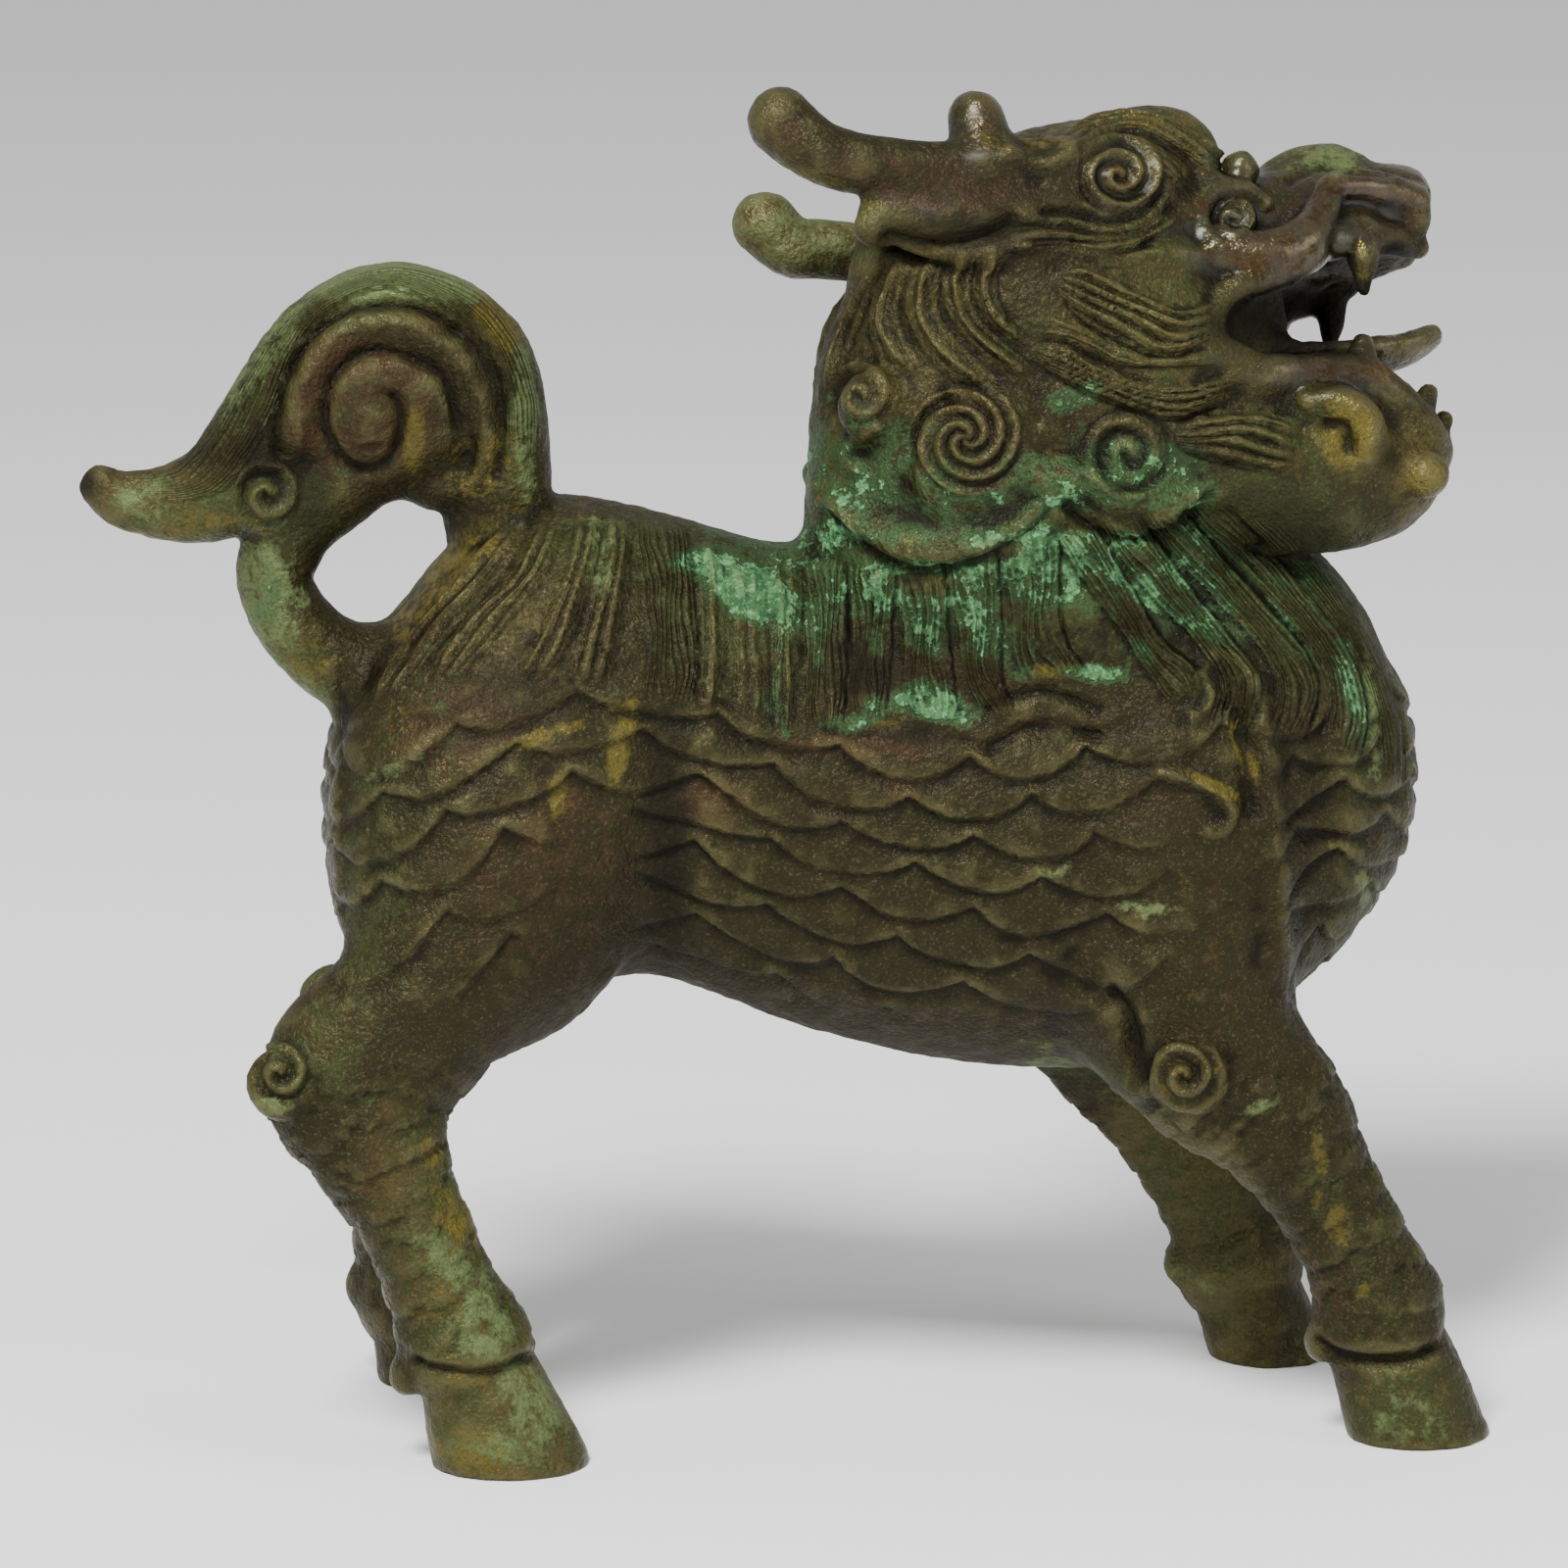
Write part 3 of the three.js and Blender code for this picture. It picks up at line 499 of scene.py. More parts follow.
# Mane, combed locks that hang from the spine and sweep to the chest, where their tips hook.
MANE_LOCKS = [
    ([(-25, 25.5), (-31, 19.5), (-36, 13), (-39.5, 6.5)], [(-22.5, 26), (-26, 19.5), (-31, 14), (-36, 7.5)], 3, 0.7),
    ([(-22.5, 26), (-25.5, 19.5), (-29.5, 15.5), (-34, 9.5)], [(-19.5, 26.3), (-22, 19.5), (-26, 14.5), (-31, 8.5)], 3, 0.9),
    ([(-19.5, 26.3), (-20.5, 21), (-22.5, 15), (-26.5, 9)], [(-16.5, 26), (-17.3, 21), (-19, 15), (-21.5, 9.5)], 3, 0.9),
    ([(-13.8, 25), (-13, 18), (-12.5, 12), (-13, 7)], [(-9, 24.3), (-8.3, 18), (-7.8, 12), (-8.5, 7)], 5, 0.45),
    ([(-16.8, 26), (-17, 21), (-18.5, 15), (-20.5, 9)], [(-14, 25.5), (-14.2, 20), (-15, 14), (-16.5, 8)], 3, 1.0),
    ([(-6, 23), (-5.5, 17), (-5, 11), (-5, 6)], [(-1.5, 22.3), (-1.3, 17), (-1.2, 11), (-1.4, 6)], 3, 0.4),
    ([(-8.8, 24.3), (-8, 18), (-7.6, 12), (-8.2, 5.5)], [(-6, 23.6), (-5.4, 18), (-5.4, 12), (-6.2, 7)], 2, 0.7),
    ([(1.6, 21), (2, 15), (2, 9), (2, 5)], [(6, 21), (6, 15), (6, 9), (5.5, 5)], 4, 0.5),
    ([(-1.7, 22.5), (-1.4, 16), (-1.2, 10), (-1.2, 4)], [(1.8, 22), (1.8, 16), (1.4, 10), (1, 4)], 3, 0.7),
    ([(6, 21), (6.3, 15), (6, 10), (6, 6)], [(10.5, 20.5), (10.3, 15), (10, 10), (9.5, 6)], 4, 0.5),
    ([(10.5, 20.5), (11, 15), (11, 10), (11, 6)], [(15, 20.5), (15.5, 15), (16, 10), (16.5, 6)], 4, 0.55),
    ([(15, 21), (16, 15), (17, 10), (19, 5.5)], [(20, 22), (20.5, 15), (20.5, 10), (22, 6.5)], 4, 0.6),
    ([(20, 22), (21, 17), (21.5, 12), (23, 8.5)], [(26, 24), (26, 18), (26.5, 13.5), (29, 10)], 4, 0.6),
    ([(41.5, 26), (47.5, 20), (53, 13), (55.5, 6.5), (55.8, 0)], [(47, 24), (52, 18), (56, 10.5), (57.8, 4), (58, -2)], 4, 0.6),
    ([(37, 26), (43, 19.5), (49, 13), (51, 8.5), (50, 4)], [(41.5, 26), (47, 20), (52.5, 13), (54.5, 7), (53.5, 1)], 4, 0.75),
    ([(33, 25.5), (38.5, 19), (44, 13), (46, 8.5), (44.6, 4.4)], [(37, 26), (42.5, 19.5), (48, 13.5), (50, 9), (48.5, 3.4)], 4, 0.8),
    ([(29, 25), (33, 19), (38, 13.5), (40.6, 9.5), (39.6, 5)], [(33, 25.5), (38, 18.5), (42, 13.5), (44.5, 9.5), (43, 3.6)], 4, 0.85),
    ([(25, 24), (28, 19), (31.5, 14), (34.5, 9.4), (36.4, 7.2)], [(29, 24.5), (32.5, 18.5), (35.5, 13.5), (38.4, 11), (39.4, 8)], 4, 0.9),
]
for first, last, strands, rise in MANE_LOCKS:
    lock(first, last, strands, rise, thin=strands < 4)

# Nape and cheeks, strands that hang from under the ear and sweep forward along the jaw.
NAPE_LOCKS = [
    ([(8.5, 49.5), (5.8, 45), (4, 40), (3.2, 35)], [(10.5, 49.5), (8.2, 45), (6.6, 41), (5.4, 38)], 2, 0.8),
    ([(10.5, 50), (8.6, 46), (8.2, 42.5), (9.2, 38.5)], [(13, 50), (11.2, 46), (11.2, 42.5), (14, 37.6)], 2, 1.0),
    ([(13, 50), (11.6, 46), (12, 42.5), (14.5, 39), (17, 36.6)], [(15.8, 50), (14.6, 46), (15.5, 42.5), (21, 37)], 2, 1.1),
    ([(15.8, 50), (14.8, 46.5), (16, 43), (19, 39.8), (22.5, 37)], [(18.5, 50), (17.6, 46.5), (18.8, 43), (24.5, 38.2)], 2, 1.1),
    ([(18.5, 50), (17.8, 46.5), (19, 43.5), (21.5, 41)], [(21.5, 50), (20, 47), (20.8, 44), (23.5, 41)], 2, 1.1),
    ([(20.5, 51.6), (25, 52.4), (30, 51.8), (34, 52.2), (36, 54.5)], [(20, 49), (25, 49.6), (30, 49), (38, 52.4)], 3, 0.9),
    ([(22.5, 44.4), (27, 43.6), (31, 41.4), (35.5, 39.8), (42, 41)], [(23, 41.5), (27, 41), (31, 39), (43, 39)], 3, 0.7),
    ([(24.3, 47.7), (28.6, 48.6), (33.3, 46.5), (37.2, 44.6), (41, 45.6)],
     [(24.5, 47.3), (27, 44), (31, 41.4), (35.5, 39.8), (41, 41.2)], 5, 1.1),
    ([(22.4, 40.8), (25.7, 41.3), (29.5, 39.4), (33.3, 37.8), (38.1, 37.4), (43.5, 39)],
     [(22.4, 40), (26.7, 37.2), (31, 35.3), (36.2, 33.9), (42.5, 36)], 5, 1.2),
    ([(35.5, 32.4), (39, 34.6), (43, 35), (48.5, 34)], [(35.5, 32.0), (39, 30.4), (43, 29.4), (48, 28.4)], 5, 1.1),
]
for first, last, strands, rise in NAPE_LOCKS:
    lock(first, last, strands, rise, thin=True)

# Brow strands and the folds under the temple.
lock([(24.5, 60.2), (29, 62.4), (33.5, 63), (38.5, 61), (42, 58.6)], [(26, 58.2), (30, 60.2), (33.5, 60.6), (37, 58.8), (40, 56.2)], 4, 0.8, thin=True)
lock([(28.5, 59.4), (32, 60.4), (35.5, 59.2), (38.5, 56.8)], [(29, 57.8), (32.5, 58.8), (35, 57.4), (37.2, 55)], 2, 0.5)
gouge([(23.3, 53.4), (27, 53.3), (30.5, 52.6), (33.8, 53.6), (35.4, 56.2), (34.9, 58.8)], 0.5, 0.7)
gouge([(21.5, 51.8), (26, 52), (30.5, 51), (34.5, 51.9), (36.8, 54.6)], 0.5, 0.6)
gouge([(22.5, 50.4), (27, 50.4), (31, 49.8), (35, 50.8)], 0.45, 0.5)

# Wrinkles across the nose, and the lid over the eye.
gouge([(46.6, 55.8), (49.8, 57.6), (53.4, 57.2), (57.4, 56.6)], 0.5, 0.35)
gouge([(40.4, 58.4), (42, 59.6), (44, 59)], 0.4, -0.4)

# The undercut along the ear, and the pointed leaf at the horn's root.
gouge([(8.6, 50.8), (12.7, 49.9), (16.4, 50.2), (19.8, 51.4), (22.4, 53)], 1.0, 1.3)
gouge([(20, 59), (24.4, 57.9), (27.6, 59.4)], 0.7, -0.6)

# Collar, the mane's scalloped lower edge: a lip with a shadow line under it.
for line in ([(3.2, 27.4), (7.3, 23.4), (12.4, 21.2), (18.2, 22), (23.6, 25.4), (25.2, 28.2)],
             [(25.6, 28), (29.1, 25), (33.5, 24.2), (37.9, 26.3), (40.4, 29)]):
    gouge(line, 0.8, -0.3)
    gouge([(s, t - 1.3) for s, t in line], 0.55, 0.6)

# A comma-shaped leaf on the jaw, a furrow behind the arm, and the shoulder's arched ridge.
gouge([(47.6, 35.2), (51.6, 36), (54.8, 34), (54.4, 30.6), (52.4, 29.4)], 0.9, -0.5)
gouge([(50, 33.6), (52.4, 33.2), (52.6, 31)], 0.6, 0.4)
gouge([(30, -18.5), (32.3, -21.8), (32.6, -25.5), (33.6, -28.5)], 0.8, 0.7)
gouge([(26, -15), (30, -20), (35, -28)], 1.2, 0.4)
gouge([(38.8, 11.6), (41.3, 11.4), (43.6, 8.9), (44.8, 4.4), (45.5, -0.6), (45.9, -10), (46.1, -20)], 1.1, -0.9)
gouge([(40.6, 8), (42.4, 6), (43.2, 1), (43.4, -4)], 0.8, 0.5)
gouge([(34, 1.6), (36.8, 0.6), (39.6, -0.4), (41.6, -2.4), (41, -4.2), (38.6, -4.6)], 0.7, -0.6)
gouge([(38.2, 10.6), (39.8, 8.6), (39.2, 6.6), (37.4, 6.2)], 0.6, -0.6)
for line in ([(-34.8, -53.4), (-32, -54.6), (-27, -54.8), (-22.6, -52.8)],
             [(49.4, -51.4), (52.5, -53.4), (58, -53.6), (61.5, -52.0)]):
    gouge(line, 0.5, 0.55)
    gouge([(s, t + 1.2) for s, t in line], 0.7, -0.3)
gouge([(18, 6.6), (23, 8.6), (27, 8), (30, 6.6)], 0.6, 0.5)
gouge([(18.4, 2.6), (22, 5), (26, 5.4), (30.4, 4)], 0.6, 0.5)

# Curls of the mane, the temple and the cheek.
coil((17.0, 32.2), 5.5, 3.5, 0.65, arms=3)
coil((7.2, 36.3), 3.2, 1.4, 0.5)
gouge([(9.4, 33.6), (7.4, 32.4), (6.0, 30.4), (7.4, 28.8)], 0.6, -0.4)
coil((41.9, 52.7), 2.2, 1.2, 0.5)
coil((37.4, -27.2), 3.4, 1.7, 0.8)
coil((-46.9, -26.9), 3.0, 1.5, 0.7)
coil((32.2, 30.8), 4.6, 1.9, 0.5)
coil((31.4, 56.8), 4.3, 2.4, 0.7, squash=0.9)

# Tail: long strands over the plume, and one deep furrow that winds round the disc.
lock([(-22.6, 30), (-22.8, 36), (-24.5, 41.5), (-28, 45.8), (-33, 48), (-38, 48.2), (-43, 46), (-47, 42.6),
      (-50.5, 37.6), (-53.5, 32.5), (-57.5, 29), (-63, 28.8)],
     [(-25.8, 30), (-26, 36), (-27.5, 40.6), (-30.6, 43.8), (-34.5, 45.8), (-38.5, 46), (-43, 43.6), (-45.6, 39.6),
      (-47.2, 35), (-49.4, 31), (-53, 27), (-60, 26)], 6, 0.5)
gouge([(-38.4, 36.4), (-36.2, 35.8), (-35.5, 33), (-36.8, 30), (-39.6, 29.2), (-42, 31), (-43, 34.2), (-42, 38),
       (-38.8, 40.4), (-34.6, 40), (-31.2, 37.6), (-30, 33.6), (-30.8, 30.4)], 0.65, 0.9)
gouge([(-38.2, 35.2), (-38.9, 33.4), (-38.6, 31.6)], 1.3, -0.5)
gouge([(-44.6, 30), (-45.1, 34), (-44, 38.6), (-40.6, 42.2), (-35.8, 42.8), (-31.4, 40.8), (-28.6, 37), (-27.8, 32),
       (-28.6, 28.4), (-31, 26.6)], 0.9, -0.5)
gouge([(-46.4, 29), (-47.2, 33), (-46.3, 38), (-43.4, 42.6), (-38.6, 44.8), (-33.2, 44.2), (-29.4, 41.4)], 0.6, 0.9)
gouge([(-31.4, 43.2), (-28.4, 40.4), (-26.6, 36.4), (-26.2, 31.6), (-27, 27.6)], 0.7, 0.6)
coil((-48, 27), 3.3, 1.4, 0.8)

# The mould's skin: the surface where the wax ends, as a fine mesh.
whole_wax = body_wax.copy()
press(whole_wax, (slice(None),) * 3, head_wax, 2.0)
floor_height = low_corner[2] + CELL * np.arange(cell_counts[2])
whole_wax = np.maximum(whole_wax, -floor_height.astype(np.float32))


def fill_pinches(wax):
    """Wax pressed in where two cells touch along one edge only, as no skin can close there."""
    for _ in range(4):
        for turned in (wax, np.moveaxis(wax, 0, 2), np.moveaxis(wax, 1, 2)):
            corners = [turned[:-1, :-1], turned[1:, :-1], turned[1:, 1:], turned[:-1, 1:]]
            full = [corner < 0 for corner in corners]
            pinched = (full[0] == full[2]) & (full[1] == full[3]) & (full[0] != full[1])
            for corner in corners:
                corner[pinched] = np.minimum(corner[pinched], -0.02)


def skin(wax):
    """One vertex in every cell that the surface passes through, one quad across every edge it cuts."""
    inside = wax < 0
    counts = np.array(wax.shape)
    offsets = [np.array([n >> 2 & 1, n >> 1 & 1, n & 1]) for n in range(8)]
    corners = [inside[tuple(slice(o, o + c - 1) for o, c in zip(offset, counts))] for offset in offsets]
    active = np.logical_or.reduce(corners) & ~np.logical_and.reduce(corners)
    number = np.full(active.shape, -1, np.int64)
    number[active] = np.arange(active.sum())
    spots = np.argwhere(active)
    values = [wax[tuple((spots + offset).T)] for offset in offsets]
    total = np.zeros(spots.shape)
    crossings = np.zeros(len(spots))
    for a in range(8):
        for bit in (1, 2, 4):
            b = a | bit
            if b == a:
                continue
            cut = (values[a] < 0) != (values[b] < 0)
            gap = np.where(cut, values[a] - values[b], 1.0)
            share = np.where(cut, values[a] / gap, 0.0)
            step = offsets[b] - offsets[a]
            total += cut[:, None] * (offsets[a] + share[:, None] * step)
            crossings += cut
    points = low_corner + CELL * (spots + total / crossings[:, None])
    quads = []
    for axis in range(3):
        along, u, v = np.eye(3, dtype=int)[[axis, (axis + 1) % 3, (axis + 2) % 3]]
        lower = inside[tuple(slice(0, c - s) for s, c in zip(along, counts))]
        upper = inside[tuple(slice(s, c) for s, c in zip(along, counts))]
        edge = np.argwhere(lower != upper)
        edge = edge[(edge[:, (axis + 1) % 3] > 0) & (edge[:, (axis + 2) % 3] > 0)]
        edge = edge[np.all(edge < counts - 1, axis=1)]
        ring = np.stack([number[tuple((edge - step).T)] for step in (u + v, v, 0 * u, u)], axis=1)
        backward = ~lower[tuple(edge.T)]
        ring[backward] = ring[backward][:, ::-1]
        quads.append(ring)
    return points, np.concatenate(quads)


def normals_of(points, faces):
    across = np.cross(points[faces[:, 2]] - points[faces[:, 0]], points[faces[:, 3]] - points[faces[:, 1]])
    total = np.stack([sum(np.bincount(faces[:, n], across[:, axis], len(points)) for n in range(4))
                      for axis in range(3)], axis=1)
    return total / (np.linalg.norm(total, axis=1)[:, None] + 1e-9)


def depth_at(wax, points):
    """The wax's distance at any points, read between its cells."""
    place = np.clip((points - low_corner) / CELL, 0, cell_counts - 1.001)
    cell = place.astype(int)
    share = place - cell
    total = 0
    for n in range(8):
        offset = np.array([n >> 2 & 1, n >> 1 & 1, n & 1])
        weight = np.prod(np.where(offset, share, 1 - share), axis=1)
        total = total + weight * wax[tuple((cell + offset).T)]
    return total


fill_pinches(whole_wax)
points, faces = skin(whole_wax)
for _ in range(2):
    points -= normals_of(points, faces) * depth_at(whole_wax, points)[:, None]
points[:, 2] = np.maximum(points[:, 2], 0)

# Body scales, rows of wide overlapping scales from under the mane to the belly.
def scales(across, down, width, pitch, dip):
    """Height of overlapping scales, 0 where one starts under the row above and 1 at its free edge."""
    row = np.floor((down - dip) / pitch)
    height = np.zeros(len(down))
    done = np.zeros(len(down), bool)

    def edge(k):
        place = 2 * np.mod(across / width + k / 2, 1) - 1
        return k * pitch + dip * (1 - place ** 2)

    for step in range(1, 5):
        k = row + step
        here = ~done & (down < edge(k))
        share = (down - edge(k - 1)) / np.maximum(edge(k) - edge(k - 1), 0.1)
        height[here] = share[here]
        done |= here
    return np.clip(height, 0, 1)


lattice = np.random.default_rng(7).random((32, 32, 32)).astype(np.float32)


def noise(points, size):
    """Soft random bumps of the given size in millimetres, from 0 to 1."""
    place = points / size
    cell = np.floor(place).astype(int)
    share = place - cell
    share = share * share * (3 - 2 * share)
    total = 0
    for n in range(8):
        offset = np.array([n >> 2 & 1, n >> 1 & 1, n & 1])
        weight = np.prod(np.where(offset, share, 1 - share), axis=1)
        total = total + weight * lattice[tuple(np.mod(cell + offset, 32).T)]
    return total


def read(layout, s, t):
    """A layout's value at any places in the picture."""
    column = np.clip((s + HALF_SHEET) / GRAIN, 0, sheet_dots - 1.001)
    row = np.clip((t + HALF_SHEET) / GRAIN, 0, sheet_dots - 1.001)
    c, r = column.astype(int), row.astype(int)
    fc, fr = column - c, row - r
    return ((layout[r, c] * (1 - fc) + layout[r, c + 1] * fc) * (1 - fr)
            + (layout[r + 1, c] * (1 - fc) + layout[r + 1, c + 1] * fc) * fr)


def soften(layout, passes):
    for _ in range(passes):
        layout = (layout + np.roll(layout, 1, 0) + np.roll(layout, -1, 0)) / 3
        layout = (layout + np.roll(layout, 1, 1) + np.roll(layout, -1, 1)) / 3
    return layout


relief = soften(relief, 1)
hair_cover = soften(hair_cover, 4)
combed = soften(combed, 3)


def mirror_to_right(points, normals):
    """Both ways a point may be seen from its right side: as a part of the body, and of the head."""
    flip = np.where(points[:, 1:2] > 0, [1, -1, 1], [1, 1, 1])
    in_head = head.back(points)
    head_flip = np.where(in_head[:, 1:2] > 0, [1, -1, 1], [1, 1, 1])
    head_normals = ((normals @ head.turn) * head_flip) @ head.turn.T
    return (points * flip, normals * flip), (head.out(in_head * head_flip), head_normals)


class Sheet:
    """Where every point of the casting is found in the picture of the right side."""

    def __init__(self, points, normals):
        (body, body_normals), (crown, crown_normals) = mirror_to_right(points, normals)
        gap = depth_at(body_wax, points) - depth_at(head_wax, points)
        self.head_share = smooth_step(-1.2, 1.2, gap)
        self.body_spot = picture(body)
        self.head_spot = picture(crown)
        self.seen = smooth_step(-0.15, 0.2, self.mix(self.facing(body, body_normals),
                                                     self.facing(crown, crown_normals)))

    def facing(self, points, normals):
        to_eye = eye_point - points
        return (normals * to_eye).sum(1) / np.linalg.norm(to_eye, axis=1)

    def mix(self, on_body, on_head):
        return on_body * (1 - self.head_share) + on_head * self.head_share

    def take(self, layout):
        return self.mix(read(layout, *self.body_spot), read(layout, *self.head_spot))

    def choose(self, layout):
        """A layout's value where it can't be mixed: the head's or the body's."""
        return np.where(self.head_share > 0.5, read(layout, *self.head_spot), read(layout, *self.body_spot))

    def patch(self, rows):
        """How strongly each point lies in any of the patches: s, t, half length, half width, turn, strength."""
        total = np.zeros(len(self.head_share))
        for middle_s, middle_t, length, width, turn, strength in rows:
            turn = math.radians(turn)
            parts = []
            for s, t in (self.body_spot, self.head_spot):
                ds, dt = s - middle_s, t - middle_t
                along = (ds * math.cos(turn) + dt * math.sin(turn)) / length
                off = (dt * math.cos(turn) - ds * math.sin(turn)) / width
                parts.append(strength * np.clip(1.6 - 1.1 * np.hypot(along, off), 0, 1))
            total = np.maximum(total, self.mix(*parts))
        return total


normals = normals_of(points, faces)
sheet = Sheet(points, normals)
hair = sheet.take(hair_cover) * sheet.seen
cut = sheet.take(relief) * sheet.seen * 1.25

x, y, z = points.T
beyond = np.maximum(x - 42, 0) - np.maximum(-27 - x, 0)
around = np.hypot(y, beyond)
barrel_z = np.interp(x, profile[:, 0], middle_height)
polar = np.arctan2(around, z - barrel_z)
turn_end = np.arctan2(np.abs(y), np.abs(beyond) + 1e-6)
run = np.clip(x, -27, 42) + np.sign(beyond) * np.where(np.abs(beyond) > 0, (math.pi / 2 - turn_end) * 17, 0)
down = 20.5 * polar
run = run - 9.2 + 3.0 * (noise(points, 9) - 0.5)
down = down - 1.8 + 1.8 * (noise(points + 50, 7) - 0.5)
SCALE_WIDTH = 11.8
SCALE_PITCH = 4.2
SCALE_DIP = 2.8


def scale_shape(share, rise):
    """From the groove it starts in, a scale swells up and then drops at its free edge."""
    return rise * (smooth_step(0, 0.5, share) * smooth_step(1.0, 0.84, share) * (0.6 + 0.4 * share) - 0.25)


trunk_share = (1 - sheet.head_share) * smooth_step(17, 21, down) * smooth_step(56, 50, down)
trunk_share *= smooth_step(-45, -42, x)
trunk_share *= 1 - smooth_step(76, 82, z)
in_s, in_t = sheet.body_spot
bare_thigh = smooth_step(-23, -18, in_s - 0.2 * in_t) * smooth_step(-12, -14.5, in_s) * smooth_step(0, -3, in_t)
bare_arm = smooth_step(-19, -23, in_t)
trunk_share *= 1 - np.maximum(bare_thigh, bare_arm) * sheet.seen
share = scales(run, down, SCALE_WIDTH, SCALE_PITCH, SCALE_DIP)
faint = 1 - 0.85 * smooth_step(31, 39, in_s) * smooth_step(6, 0, in_t) * smooth_step(48, 45, in_s) * sheet.seen
lumpy = 0.7 + 0.6 * noise(points + 31, 11)
height = cut + scale_shape(share, 0.52) * trunk_share * faint * lumpy * (1 - np.clip(hair * 1.2, 0, 1))

# Legs, banded with small scales from the hock and knee down to the hoof's collar.
LEG_ROWS = {"right hind": (12.6, 42), "left hind": (12.6, 42), "right fore": (13.6, 40), "left fore": (10.4, 34)}
for name, path in leg_paths.items():
    path = path[::2]
    side = LEGS[name][0]
    near_leg = np.flatnonzero((y * side > 3) & (z < LEG_ROWS[name][1] + 3) & (np.abs(x - path[-30, 0]) < 24))
    spots = points[near_leg]
    gap = ((spots[:, None, :] - path[None, :, :3]) ** 2).sum(2)
    nearest = gap.argmin(1)
    steps = np.linalg.norm(np.diff(path[:, :3], axis=0), axis=1)
    reached = np.concatenate([[0], np.cumsum(steps)])[nearest]
    gone = np.gradient(path[:, :3], axis=0)[nearest]
    gone /= np.linalg.norm(gone, axis=1)[:, None]
    out = spots - path[nearest, :3]
    ahead = np.cross(gone, [0, 1, 0])
    around = np.arctan2((out * ahead).sum(1), out[:, 1] * side)
    off_beat = 2.0 * (noise(spots, 5) - 0.5)
    share = scales(around * 5 / (2 * math.pi) + 0.3 * off_beat, reached + off_beat, 1.0, 3.4, 1.3)
    low, high = LEG_ROWS[name]
    present = smooth_step(low - 0.8, low, spots[:, 2]) * smooth_step(high, high - 6, spots[:, 2])
    present *= 0.55 + 0.45 * smooth_step(-4, 2, out[:, 1] * side)
    height[near_leg] += scale_shape(share, 0.28) * present * (0.6 + 0.8 * noise(spots + 17, 6)) * (1 - hair[near_leg])

points = points + normals * height[:, None]
grain = 0.14 * (noise(points, 0.8) - 0.5) + 0.26 * (noise(points, 2.2) - 0.5)
points += normals_of(points, faces) * grain[:, None]
points[:, 2] = np.maximum(points[:, 2], 0)

mesh = bpy.data.meshes.new("figurine_casting")
mesh.from_pydata(((points + [CASTING_SHIFT, 0, 0]) * MM).tolist(), [], faces.tolist())
casting = bpy.data.objects.new("figurine_casting", mesh)
bpy.context.collection.objects.link(casting)

TRIANGLES = 196000
thin = casting.modifiers.new("thin", "DECIMATE")
thin.ratio = TRIANGLES / (2 * len(faces))
bpy.context.view_layer.update()
evaluated = casting.evaluated_get(bpy.context.evaluated_depsgraph_get())
casting.data = bpy.data.meshes.new_from_object(evaluated)
casting.modifiers.clear()
mesh = casting.data
mesh.polygons.foreach_set("use_smooth", np.ones(len(mesh.polygons), bool))

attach(casting, "root")
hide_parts("figurine")

# Age: dirt and dark oxide with painted shade in the hollows, painted shade in the mouth and creases, verdigris in
# crusts, ochre and red-brown stains, and bare metal where hands have rubbed the edges, with a painted highlight along
# them. Each is a share from 0 to 1 at every point.
flat = np.empty(3 * len(mesh.vertices), np.float32)
mesh.vertices.foreach_get("co", flat)
points = flat.reshape(-1, 3) / MM - [CASTING_SHIFT, 0, 0]
mesh.vertices.foreach_get("normal", flat)
normals = flat.reshape(-1, 3).astype(float)
ends = np.empty(2 * len(mesh.edges), np.int32)
mesh.edges.foreach_get("vertices", ends)
first_end, second_end = ends.reshape(-1, 2).T
neighbours = np.bincount(np.concatenate([first_end, second_end]), minlength=len(points))[:, None]


def eased(values, rounds):
    """Values averaged with their neighbours along the mesh, a number of times."""
    values = values.reshape(len(points), -1)
    for _ in range(rounds):
        sums = np.stack([np.bincount(first_end, column[second_end], len(points))
                         + np.bincount(second_end, column[first_end], len(points)) for column in values.T], axis=1)
        values = 0.5 * values + 0.5 * sums / neighbours
    return values


# Hollows, broad and narrow, take dark oxide with painted shade; ridges take wear with a painted highlight.
close = ((eased(points, 4) - points) * normals).sum(1)
wide = ((eased(points, 40) - points) * normals).sum(1)
hollow = smooth_step(0.0, 0.10, eased(close, 1)[:, 0]) * 0.7 + smooth_step(0.05, 0.5, wide) * 0.6
worn_and_highlit = smooth_step(0.05, 0.16, -eased(close, 1)[:, 0])

